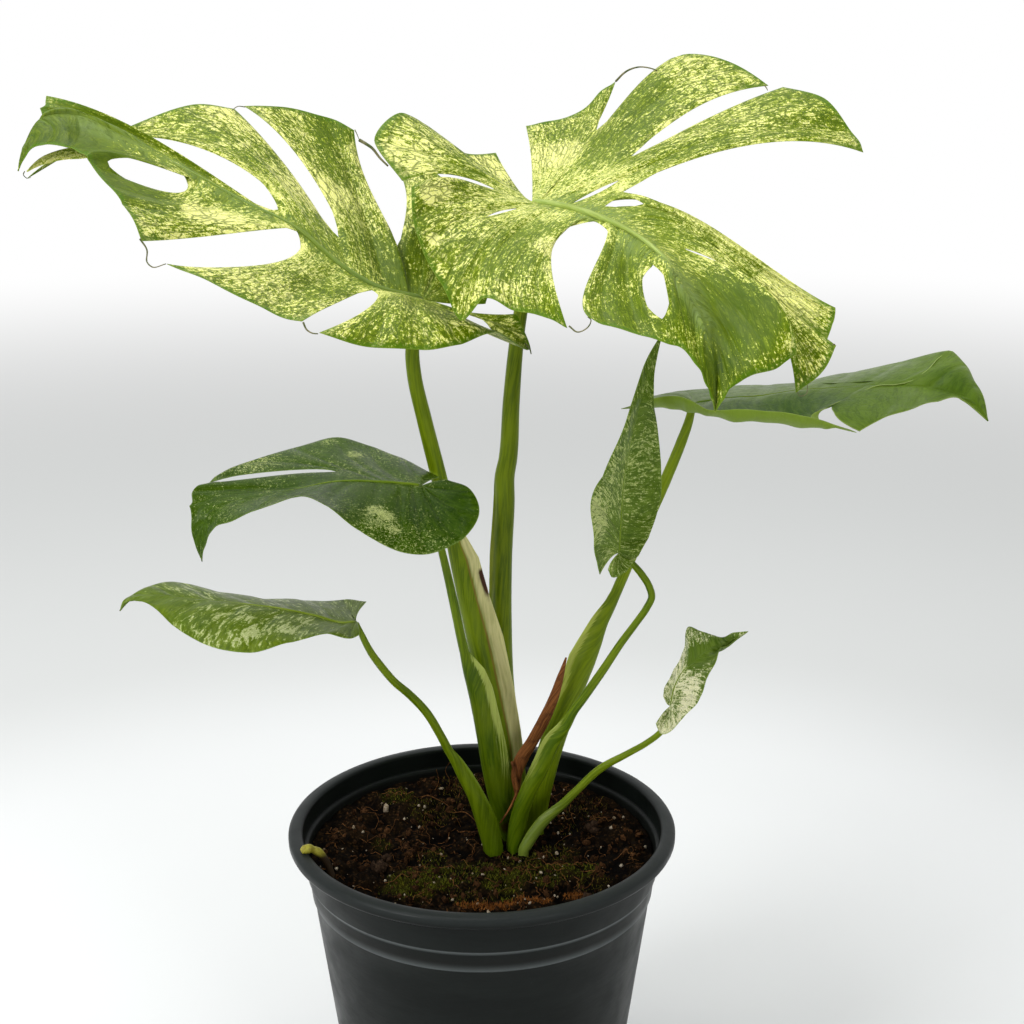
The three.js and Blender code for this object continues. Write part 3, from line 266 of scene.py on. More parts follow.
            (-92.5, -22, 251), (-106.5, -22, 252.5), (-120, -22, 254), (-131.5, -21, 254.5),
            (-139.5, -21, 252.5), (-144, -21, 248),
        ],
        "far": [
            [
                (0, -50, -10, 243, -47.5, 2, 244), (0, -53.5, -4, 242, -57, 12, 241),
                (0.1, -67, -2, 243.5, -77, 17, 239), (0.25, -84.5, -4, 246, -94, 14, 240.5),
                (0.42, -101.5, -6, 249, -112, 8, 246.5), (0.6, -115.5, -10, 253, -124.5, 1, 252.5),
                (0.75, -129, -14, 255, -134, -9, 254.5),
                (0.88, -137.5, -17, 253.5, -140.5, -16, 252.5), (1,),
            ],
        ],
        "far_open": [],
        "near": [
            [
                (0, -48, -27, 243, -47.5, -33, 242.5), (0, -50.5, -30, 243, -50.5, -38, 242.5),
                (0.05, -57, -33, 245, -60, -44, 247), (0.14, -69, -38, 247, -71, -54, 247),
                (0.28, -84.5, -41, 248.5, -86.5, -59, 245),
                (0.44, -100, -39, 250.5, -103.5, -53, 245.5),
                (0.62, -116.5, -34, 252.5, -119.5, -39, 248.5),
                (0.78, -129, -27, 253.5, -130, -28, 253), (0.9, -138, -22, 253, -140, -22, 252.5),
                (1,),
            ],
        ],
        "near_open": [],
    },
    "f": {
        "faces": (0.5, -0.8, 0.2),
        "midrib": [
            (56, -6, 267.5), (56.5, -5, 279.5), (57.5, -4, 298.5), (60, -3, 313.5),
            (63.5, -1, 328), (67.5, 1, 343), (73, 3, 358),
        ],
        "far": [
            [
                (0, 53, -9, 265, 51.5, -11, 262), (0, 54, -10, 263, 53.5, -12, 259),
                (0, 57, -9, 263, 59, -10, 261), (0, 60, -6, 265.5, 64, -4, 265.5),
                (0.06, 62.5, -2, 271.5, 68.5, 1, 271.5), (0.18, 65, 2, 281, 72.5, 7, 281.5),
                (0.3, 66, 3, 295, 74, 9, 293), (0.45, 66, 3, 309.5, 73, 9, 306),
                (0.6, 66.5, 2, 322.5, 71, 7, 319.5), (0.75, 67.5, 2, 334, 69.5, 5, 331.5),
                (0.88, 69, 2, 345.5, 70, 3, 344.5), (1,),
            ],
        ],
        "far_open": [],
        "near": [
            [
                (0, 52, -11, 266.5, 48, -20, 263), (0, 50, -14, 271.5, 45.5, -22, 271.5),
                (0.03, 50, -15, 280, 45, -23, 281), (0.08, 49.5, -15, 287.5, 43.5, -24, 295),
                (0.2, 52.5, -13, 297, 48.5, -20, 303.5), (0.4, 56.5, -10, 310.5, 54, -15, 315.5),
                (0.6, 61, -7, 325.5, 60, -9, 330.5), (0.8, 65.5, -2, 341, 65, -4, 345), (1,),
            ],
        ],
        "near_open": [],
    },
    "g": {
        "faces": (0.2, -0.8, 0.5),
        "midrib": [
            (78.5, -10, 202.5), (80, -10, 211), (83.5, -10, 218), (87, -11, 221.5),
            (90.5, -12, 226), (94, -12, 228.5), (99.5, -12, 230.5), (105, -12, 233.5),
            (109, -12, 236),
        ],
        "far": [
            [
                (0, 77.5, -8, 202, 76.5, -6, 202.5), (0, 77.5, -7, 204, 76, -4, 204.5),
                (0.05, 78, -5, 207.5, 76.5, -2, 207.5), (0.15, 80, -4, 213, 80, 0, 213),
                (0.25, 83.5, -3, 219, 83, 1, 219.5), (0.35, 85, -3, 224.5, 85, 3, 224.5),
                (0.45, 87, -3, 228.5, 86, 5, 231.5), (0.6, 91.5, -6, 230, 91, 0, 231.5),
                (0.75, 97, -10, 231.5, 97.5, -7, 231.5), (0.9, 103, -12, 233.5, 103, -11, 235),
                (1,),
            ],
        ],
        "far_open": [],
        "near": [
            [
                (0, 75, -13, 200.5, 72, -17, 197.5), (0, 76, -14, 198.5, 73.5, -19, 194),
                (0, 77.5, -15, 199, 77, -21, 195.5), (0, 80, -17, 203, 82, -23, 202),
                (0.06, 83.5, -18, 208.5, 87.5, -25, 210), (0.18, 86, -18, 215, 90, -25, 216),
                (0.32, 89, -18, 221, 92, -24, 222.5), (0.5, 92.5, -17, 225.5, 95.5, -21, 228),
                (0.7, 97.5, -14, 228.5, 98.5, -17, 231),
                (0.87, 103, -12, 231.5, 103.5, -13, 232.5), (1,),
            ],
        ],
        "near_open": [],
    },
}

# The stalks. A row is x, y, z, then the reach to the left, to the right and in depth.
# The foot is x, y and radius.
STALKS = {
    "a": {
        "rows": [
            (-23.1, 22.2, 365.1, 1.6, 1.6, 1.8), (-26.5, 23, 355, 2.4, 2.4, 2.5),
            (-28, 24, 344, 2.9, 2.9, 3), (-27.5, 24.5, 335.5, 3, 3, 3.1),
            (-23.5, 26, 315, 3.2, 3.2, 3.2), (-18.5, 27, 293, 3.4, 3.4, 3.4),
            (-13, 28, 267.5, 3.6, 3.7, 3.6), (-11.5, 28.5, 261, 3.7, 6, 3.6),
            (-10, 29, 253, 3.8, 8.8, 3.6), (-6, 30, 234.5, 4.4, 9.5, 4),
            (-2, 30.5, 216, 4.8, 11.3, 4.5), (3, 31, 191.5, 4.8, 11, 4.8),
            (8.5, 32, 167, 5.3, 8.9, 5), (11.5, 33, 143.5, 5.4, 6, 4.9),
        ],
        "foot": (14, 33, 5),
    },
    "b": {
        "rows": [
            (21, 38.1, 402.4, 1.6, 1.6, 1.8), (20, 39, 388, 2.5, 2.5, 2.6),
            (18, 40, 369, 2.8, 2.8, 3), (15, 40.5, 348, 3, 3, 3.2),
            (12.5, 41, 319.5, 3.6, 3.6, 3.8), (11, 41.5, 294, 4, 4, 4),
            (10, 41.5, 287.5, 4.5, 4, 4), (10, 42, 276, 5.2, 4, 4), (9, 42, 251.5, 5.9, 3.9, 4),
            (8.5, 42, 221, 5.7, 4.2, 4.2), (9.5, 42.5, 188, 5.3, 4.5, 4.4),
            (13, 43.5, 159, 4.9, 4.9, 4.4),
        ],
        "foot": (16, 44, 4.5),
    },
    "c": {
        "rows": [
            (88.5, 35, 319.1, 1.5, 1.5, 1.5), (87, 35, 312, 1.9, 1.9, 2),
            (84.5, 34.5, 304.5, 2.2, 2.2, 2.3), (77.5, 33, 286.5, 2.4, 2.4, 2.4),
            (66, 31.5, 259, 2.3, 2.3, 2.4), (57.5, 30, 238, 2.3, 2.3, 2.4),
            (55.5, 30, 233, 3, 2.4, 2.4), (51.5, 29.5, 224.5, 5, 2.8, 2.6),
            (48, 29, 215, 6.9, 3.6, 3), (45, 28.5, 207.5, 8, 4.2, 3.4),
            (39.5, 27.5, 194, 6.5, 4.6, 4), (32.5, 26.5, 175.5, 5.7, 5.1, 4.6),
            (26.5, 25, 154.5, 5.3, 5.3, 5),
        ],
        "foot": (22, 25, 5),
    },
    "d": {
        "rows": [
            (-23.8, 4.6, 292, 1, 1, 1), (-22, 7.5, 285, 1.2, 1.2, 1.3),
            (-20, 9, 279, 1.3, 1.3, 1.4), (-16.5, 11, 263.5, 1.6, 1.6, 1.6),
            (-12, 14, 240.5, 1.9, 1.9, 1.9), (-7.5, 16, 216, 2, 2.1, 2.3),
            (-5.5, 16.5, 207, 2.6, 6.8, 2.6), (-3, 17.5, 198, 3.3, 7.7, 3),
            (-1, 18.5, 188, 3.5, 7.8, 3.3), (1.5, 19, 174, 3.8, 8.3, 3.6),
            (3.5, 19.5, 161, 3.9, 8.7, 3.8), (7, 20, 145, 4.2, 6.2, 4),
        ],
        "foot": (12, 20, 4.2),
    },
    "e": {
        "rows": [
            (-49.4, -19.6, 242.1, 0.8, 0.8, 0.9), (-47.5, -18, 236, 1.3, 1.3, 1.4),
            (-44, -15, 227, 1.5, 1.5, 1.6), (-41, -13, 221.5, 1.6, 1.6, 1.7),
            (-36, -10, 213.5, 1.6, 1.6, 1.8), (-29.5, -6, 205.5, 1.7, 1.7, 1.8),
            (-23, -2, 196, 1.8, 1.8, 1.8), (-17.5, 1, 184.5, 1.8, 1.8, 1.9),
            (-14, 3, 176, 1.8, 2, 2), (-11.5, 4, 171, 2, 3.2, 2), (-8, 5, 163, 2.3, 4.5, 2.4),
            (-3.5, 6, 153.5, 2.8, 4.7, 2.8), (0.5, 7, 141.5, 3.5, 5.8, 3.4),
        ],
        "foot": (4.6, 8, 4.4),
    },
    "f": {
        "rows": [
            (56.5, -4.7, 266.8, 0.8, 0.8, 0.9), (60.5, 0, 262.5, 1.3, 1.3, 1.4),
            (66, 1.5, 256, 1.5, 1.5, 1.5), (69.5, 2, 250, 1.5, 1.5, 1.6),
            (70.5, 2, 246, 1.5, 1.5, 1.6), (68.5, 2, 241, 1.5, 1.5, 1.6),
            (64.5, 2.5, 234.5, 1.5, 1.5, 1.6), (58.5, 3, 225.5, 1.6, 1.6, 1.6),
            (51.5, 4, 213.5, 1.8, 1.8, 1.8), (43, 5.5, 199.5, 1.9, 1.9, 1.9),
            (38.5, 6, 192.5, 2, 2, 2), (36, 6.5, 186.5, 3.5, 2, 2),
            (31, 7.5, 178.5, 4.9, 2.6, 2.4), (26, 8.5, 166, 5.2, 2.8, 2.8),
            (20, 9.5, 153, 4.3, 3, 3.2), (16, 10.5, 140, 4.2, 3.3, 3.6),
        ],
        "foot": (14.1, 10.6, 3.8),
    },
    "g": {
        "rows": [
            (78.5, -9.2, 201.3, 0.7, 0.7, 0.8), (77.5, -6.5, 195.5, 1.1, 1.1, 1.1),
            (75, -5, 188.5, 1.3, 1.3, 1.3), (70, -3, 183, 1.3, 1.3, 1.4),
            (62, 0, 176.5, 1.4, 1.4, 1.4), (50.5, 3, 168, 1.7, 1.7, 1.6),
            (40.5, 5.5, 156.5, 1.7, 1.7, 1.7), (35, 7, 149.5, 2.2, 1.8, 1.8),
            (27, 7, 141.5, 3.2, 2.1, 2), (22.4, 6.2, 135.5, 3.2, 2.2, 2.2),
        ],
        "foot": (18, 5.2, 2.5),
    },
}
# The brown dry sheath that stands between the stalks.
DRY_SHEATH = {
    "rows": [
        (36, 20, 212, 0.4, 0.4, 0.6), (33.5, 19.5, 203, 1.5, 1.5, 1),
        (30.5, 19, 193, 2.2, 2.2, 1.2), (26.5, 18.5, 183.5, 2.6, 2.6, 1.3),
        (21.5, 17.5, 174, 2.6, 2.6, 1.3), (16.8, 16.5, 165.5, 3.2, 2.8, 1.3),
        (15, 16, 158, 2.6, 2, 1.2), (15.2, 15.6, 150, 1.2, 1.2, 1),
    ],
    "foot": (16.5, 16, 1),
}
# The tip of an aerial root that leaves the soil and lies on the rim.
ROOT_TIP = {
    "rows": [
        (-74, -29.6, 145.9, 1, 1, 1), (-72.8, -29, 146.4, 1.9, 1.9, 1.8),
        (-70.9, -28.2, 146.5, 2, 2, 1.9), (-69.5, -27.6, 145.8, 1.5, 1.5, 1.5),
        (-67.6, -26.6, 144.3, 1.9, 1.9, 1.8), (-65.6, -25.6, 141.4, 1.6, 1.6, 1.6),
        (-63.8, -24.6, 137, 1.5, 1.5, 1.5),
    ],
    "foot": (-62, -23.5, 1.6),
}
# The husk's torn lower edge, which runs down between the stalks' feet.
HUSK_EDGE = [
    (12.8, 14.8, 165.8), (14.1, 14, 159.6), (15, 13, 153.4), (13.2, 12, 148.2),
    (10.6, 10.8, 143.4), (7.6, 10, 138.9),
]


def smoothstep(low, high, x):
    t = np.clip((np.asarray(x, float) - low) / (high - low), 0, 1)
    return t * t * (3 - 2 * t)


def smooth_line(knots, points):
    """A cubic through the points at the given knots; the points may be whole rows."""
    t = np.asarray(knots, float)
    p = np.asarray(points, float)
    wide = (slice(None),) + (None,) * (p.ndim - 1)
    slopes = (p[1:] - p[:-1]) / (t[1:] - t[:-1])[wide]
    tangents = np.empty_like(p)
    tangents[0], tangents[-1] = slopes[0], slopes[-1]
    for i in range(1, len(p) - 1):
        before, after = t[i] - t[i - 1], t[i + 1] - t[i]
        tangents[i] = (slopes[i - 1] * after + slopes[i] * before) / (before + after)

    def at(x):
        i = int(np.clip(np.searchsorted(t, x) - 1, 0, len(t) - 2))
        h = t[i + 1] - t[i]
        u = (x - t[i]) / h
        start = (1 + 2 * u) * (1 - u) ** 2 * p[i] + u * (1 - u) ** 2 * h * tangents[i]
        end = u * u * (3 - 2 * u) * p[i + 1] + u * u * (u - 1) * h * tangents[i + 1]
        return start + end
    return at


def chord_knots(points):
    p = np.asarray(points, float)
    lengths = np.linalg.norm(p[1:] - p[:-1], axis=1)
    run = np.concatenate([[0], np.cumsum(lengths)])
    return run / run[-1]


def spline(points, count):
    """count points along a smooth line through the given ones."""
    at = smooth_line(chord_knots(points), points)
    return np.array([at(x) for x in np.linspace(0, 1, count)])


def through(nodes, places):
    """The polynomial through nodes at equal steps, read at all the places."""
    nodes = np.asarray(nodes, float)
    last = len(nodes) - 1
    out = np.zeros((len(places), 3))
    for i in range(last + 1):
        weight = np.ones(len(places))
        for j in range(last + 1):
            if j != i:
                weight *= (places * last - j) / (i - j)
        out += weight[:, None] * nodes[i]
    return out


def wall_radius(z):
    """The pot's outer radius at a height below its ring lines."""
    return 57 + 15.5 * z / 116


def ring(radius, z, sides, shift=0.0):
    """Points round the pot's axis."""
    turns = [2 * math.pi * (k + shift) / sides for k in range(sides)]
    return [(radius * math.cos(turn), radius * math.sin(turn), z) for turn in turns]


def bands(rows, sides, order=(0, 1, 2, 3), start=0):
    """Four-cornered faces between rings of points that follow one another."""
    faces = []
    for a in range(start, start + (rows - 1) * sides, sides):
        for k in range(sides):
            n = (k + 1) % sides
            corners = (a + k, a + n, a + sides + n, a + sides + k)
            faces.append(tuple(corners[c] for c in order))
    return faces


def rod_faces(rows, sides, order=(0, 1, 2, 3), turned=False):
    """The bands of a rod and a cap at each end."""
    base = (rows - 1) * sides
    caps = [tuple(range(sides))[::-1], tuple(range(base, base + sides))]
    return bands(rows, sides, order) + [cap[::-1] if turned else cap for cap in caps]


def rod_uv(across, along):
    """A flat place for each point of a rod: across round a ring, along down the rings."""
    pairs = np.broadcast_arrays(across, np.asarray(along, float)[:, None])
    return np.stack(pairs, axis=-1).reshape(-1, 2)


def tube(path, radii, sides, flat=1.0, lift=(0, 0, 1)):
    """Points and faces of a round rod along a path; flat squeezes it along lift."""
    path = np.asarray(path, float)
    along = np.gradient(path, axis=0)
    along /= np.linalg.norm(along, axis=1)[:, None]
    lifts = np.broadcast_to(np.asarray(lift, float), path.shape)
    points = []
    for centre, ahead, radius, upright in zip(path, along, radii, lifts):
        across = np.cross(ahead, upright)
        across /= np.linalg.norm(across) + 1e-9
        up = np.cross(across, ahead)
        for k in range(sides):
            turn = 2 * math.pi * k / sides
            out = math.cos(turn) * across + flat * math.sin(turn) * up
            points.append(centre + radius * out)
    return points, rod_faces(len(path), sides)


def make_mesh(name, points, faces, materials, face_slots=None, smooth=True, crisp=None):
    """A mesh object from points in millimetres. crisp lists the edges that stay sharp."""
    mesh = bpy.data.meshes.new(name)
    scaled = (np.asarray(points, float) * MM).tolist()
    mesh.from_pydata(scaled, [], [list(map(int, face)) for face in faces])
    for material in materials:
        mesh.materials.append(material)
    if face_slots is not None:
        mesh.polygons.foreach_set("material_index", np.asarray(face_slots, np.int32))
    mesh.polygons.foreach_set("use_smooth", np.full(len(faces), smooth))
    if crisp:
        wanted = {tuple(sorted(edge)) for edge in crisp}
        sharp = mesh.attributes.new("sharp_edge", "BOOLEAN", "EDGE")
        marks = [tuple(sorted(edge.vertices)) in wanted for edge in mesh.edges]
        sharp.data.foreach_set("value", marks)
    mesh.update()
    piece = bpy.data.objects.new(name, mesh)
    bpy.context.scene.collection.objects.link(piece)
    return piece


def give(piece, **values):
    """Values that the materials read: one number, or one for each point."""
    blank = np.zeros(len(piece.data.vertices), np.float32)
    for name, given in values.items():
        layer = piece.data.attributes.new(name, "FLOAT", "POINT")
        layer.data.foreach_set("value", blank + np.asarray(given, np.float32))


def give_uv(piece, flat):
    """The map "vein" from one (u, v) pair for each point."""
    layer = piece.data.uv_layers.new(name="vein")
    corners = np.empty(len(piece.data.loops), np.int32)
    piece.data.loops.foreach_get("vertex_index", corners)
    flat = np.asarray(flat, np.float32)
    layer.data.foreach_set("uv", flat[corners].ravel())


def settle(piece, slot, *nodes):
    """The piece rides on the plant and hides the named CAD parts; slot is not used."""
    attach(piece, "root")
    if nodes:
        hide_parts(*nodes)
    return piece


class Heap:
    """Collects many small shapes into one mesh."""

    def __init__(self):
        self.points, self.faces, self.slots, self.tones = [], [], [], []

    def add(self, points, faces, slot=0, tone=0.0):
        base = len(self.points)
        self.points.extend(points)
        self.faces.extend(tuple(base + i for i in face) for face in faces)
        self.slots.extend([slot] * len(faces))
        self.tones.extend([tone] * len(points))

    def object(self, name, materials, smooth=True):
        piece = make_mesh(name, self.points, self.faces, materials, self.slots, smooth)
        give(piece, tone=self.tones)
        return piece


def srgb(red, green, blue):
    """A display colour, 0 to 255, as the linear colour that the shader wants."""
    out = []
    for channel in (red, green, blue):
        c = channel / 255
        out.append(c / 12.92 if c <= 0.04045 else ((c + 0.055) / 1.055) ** 2.4)
    return tuple(out)


class Tree:
    """Short calls for wiring nodes. Colours are display colours, 0 to 255."""

    def __init__(self, tree):
        self.tree = tree

    def node(self, kind, inputs=None, **settings):
        made = self.tree.nodes.new(kind)
        for key, value in settings.items():
            setattr(made, key, value)
        for key, value in (inputs or {}).items():
            self.put(made.inputs[key], value)
        return made

    def put(self, socket, value):
        if isinstance(value, bpy.types.NodeSocket):
            self.tree.links.new(value, socket)
        else:
            socket.default_value = value

    def math(self, operation, a, b=0.0):
        return self.node("ShaderNodeMath", {0: a, 1: b}, operation=operation).outputs[0]

    def vector_math(self, operation, inputs):
        return self.node("ShaderNodeVectorMath", inputs, operation=operation).outputs

    def ramp(self, value, low, high, start=0.0, end=1.0):
        """Rises smoothly from start to end as the value goes from low to high."""
        inputs = {"Value": value, "From Min": low, "From Max": high}
        inputs.update({"To Min": start, "To Max": end})
        made = self.node("ShaderNodeMapRange", interpolation_type="SMOOTHSTEP")
        for key, given in inputs.items():
            self.put(made.inputs[key], given)
        return made.outputs["Result"]


class Skin(Tree):
    """A material made of procedural nodes."""

    def __init__(self, name):
        self.material = bpy.data.materials.new(name)
        self.material.use_nodes = True
        super().__init__(self.material.node_tree)
        self.shader = self.tree.nodes["Principled BSDF"]

    def value(self, name):
        return self.node("ShaderNodeAttribute", attribute_name=name).outputs["Fac"]

    def vein(self, scale=None):
        flat = self.node("ShaderNodeUVMap", uv_map="vein").outputs["UV"]
        return self.stretch(flat, scale) if scale else flat

    def place(self):
        """Where a point is on the object, in millimetres."""
        coordinates = self.node("ShaderNodeTexCoord").outputs["Object"]
        return self.stretch(coordinates, (1000, 1000, 1000))

    def stretch(self, vector, scale):
        return self.node("ShaderNodeMapping", {"Vector": vector, "Scale": scale}).outputs["Vector"]

    def noise(self, vector, scale, detail=2.0, rough=0.5, warp=0.0):
        inputs = {"Vector": vector, "Scale": scale, "Detail": detail}
        inputs.update({"Roughness": rough, "Distortion": warp})
        return self.node("ShaderNodeTexNoise", inputs).outputs["Fac"]

    def shift(self, vector, scale, amount):
        """The vector moved about by a noise."""
        drift = self.node("ShaderNodeTexNoise", {"Vector": vector, "Scale": scale, "Detail": 2.0})
        middle = {0: drift.outputs["Color"], 1: (0.5, 0.5, 0.5)}
        centred = self.vector_math("SUBTRACT", middle)[0]
        sized = self.vector_math("SCALE", {0: centred, "Scale": amount})[0]
        return self.vector_math("ADD", {0: vector, 1: sized})[0]

    def cells(self, vector, scale, feature="F1"):
        inputs = {"Vector": vector, "Scale": scale}
        return self.node("ShaderNodeTexVoronoi", inputs, feature=feature).outputs

    def mix(self, factor, a, b):
        made = self.node("ShaderNodeMix", {"Factor": factor}, data_type="RGBA")
        for socket, colour in ((6, a), (7, b)):
            linked = isinstance(colour, bpy.types.NodeSocket)
            self.put(made.inputs[socket], colour if linked else (*srgb(*colour), 1))
        return made.outputs[2]

    def patches(self, colour, other, noise, low, high, amount=1.0):
        """The other colour where the noise is high; noise is what noise() takes."""
        return self.mix(self.ramp(self.noise(*noise), low, high, 0.0, amount), colour, other)

    def bump(self, height, strength, distance, below=None):
        inputs = {"Height": height, "Strength": strength, "Distance": distance * MM}
        if below is not None:
            inputs["Normal"] = below
        return self.node("ShaderNodeBump", inputs).outputs["Normal"]

    def finish(self, **inputs):
        names = {
            "colour": "Base Color", "rough": "Roughness", "normal": "Normal",
            "specular": "Specular IOR Level", "soft": "Subsurface Weight",
            "soft_reach": "Subsurface Radius", "soft_scale": "Subsurface Scale",
        }
        for key, given in inputs.items():
            self.put(self.shader.inputs[names[key]], given)
        return self.material


def midrib_stations(leaf, step):
    """Every place along the midrib where a row of the blade starts."""
    marks = {0.0, 1.0}
    for side in ("far", "near"):
        for lobe in leaf[side]:
            marks.update(round(rib[0], 4) for rib in lobe)
    marks = sorted(marks)
    stations = []
    for a, b in zip(marks, marks[1:]):
        count = max(1, math.ceil((b - a) / step - 1e-6))
        stations += [round(a + (b - a) * k / count, 5) for k in range(count)]
    return stations + [1.0]


def lobe_columns(lobe, stations, fan):
    """(vein order, midrib place, shared midrib point) for every line of the lobe."""
    columns = []
    for i, rib in enumerate(lobe):
        here = min(stations, key=lambda s: abs(s - rib[0]))
        columns.append((float(i), here, here))
        if i + 1 == len(lobe):
            break
        there = min(stations, key=lambda s: abs(s - lobe[i + 1][0]))
        if there - here < 1e-6:
            columns += [(i + k / fan, here, here) for k in range(1, fan)]
            continue
        marks = [s for s in stations if here - 1e-6 < s < there + 1e-6]
        parts = math.ceil(fan / (len(marks) - 1))
        for a, b in zip(marks, marks[1:]):
            for k in range(parts):
                s = a + (b - a) * k / parts
                if s > here:
                    columns.append((i + (s - here) / (there - here), s, a))
    return columns


# Short openings near the midrib end before this share and are pushed this far apart.
INNER_END, INNER_PUSH, INNER_REACH = 0.35, 1.5, 3.5
# The distance from the rim that is given to the lips of a hole.
HOLE_RIM = 0.3


def slit_opening(spans, place, ease=0.12):
    """How far open a slit is at a place from the midrib, 0 to 1."""
    for a, b in spans:
        to_rim = b >= 1
        if place > a and (to_rim or place < b):
            opening = min(1.0, (place - a) / ease) ** 0.5
            if not to_rim:
                opening *= min(1.0, (b - place) / ease) ** 0.5
            return opening
    return 0.0


def inner_push(spans, v):
    """How far the lips of a short opening near the midrib stand apart, each way."""
    for start, end in spans:
        if end < INNER_END and start < v < end:
            share = (v - start) / (end - start)
            return INNER_PUSH * math.sin(math.pi * share) ** 0.7
    return 0.0


def open_holes(grid, columns, places, holes, side, number):
    """Parts the surface along a column where a hole is; gives back the second lips."""
    split = {}
    for where, lobe, order, start, end, width in holes:
        if (where, lobe) != (side, number):
            continue
        c = min(range(len(columns)), key=lambda i: abs(columns[i][0] - order))
        inside = [j for j in range(1, len(places) - 1) if start < places[j] < end]
        lips = {}
        for j in inside:
            share = (places[j] - start) / (end - start)
            half = width / 2 * math.sin(math.pi * share) ** 0.6
            row = grid[:, j].copy()
            ahead = row[min(c + 1, len(row) - 1)] - row[max(c - 1, 0)]
            ahead /= np.linalg.norm(ahead) + 1e-9
            for k in range(len(row)):
                if 0 < k < len(row) - 1:
                    far = np.linalg.norm(row[k] - row[c])
                    push = half * math.exp(-(far / (1.3 * width)) ** 2)
                    grid[k, j] = row[k] + ahead * (push if k > c else -push)
            lips[j] = row[c] + ahead * half
        split[c] = lips
    return split


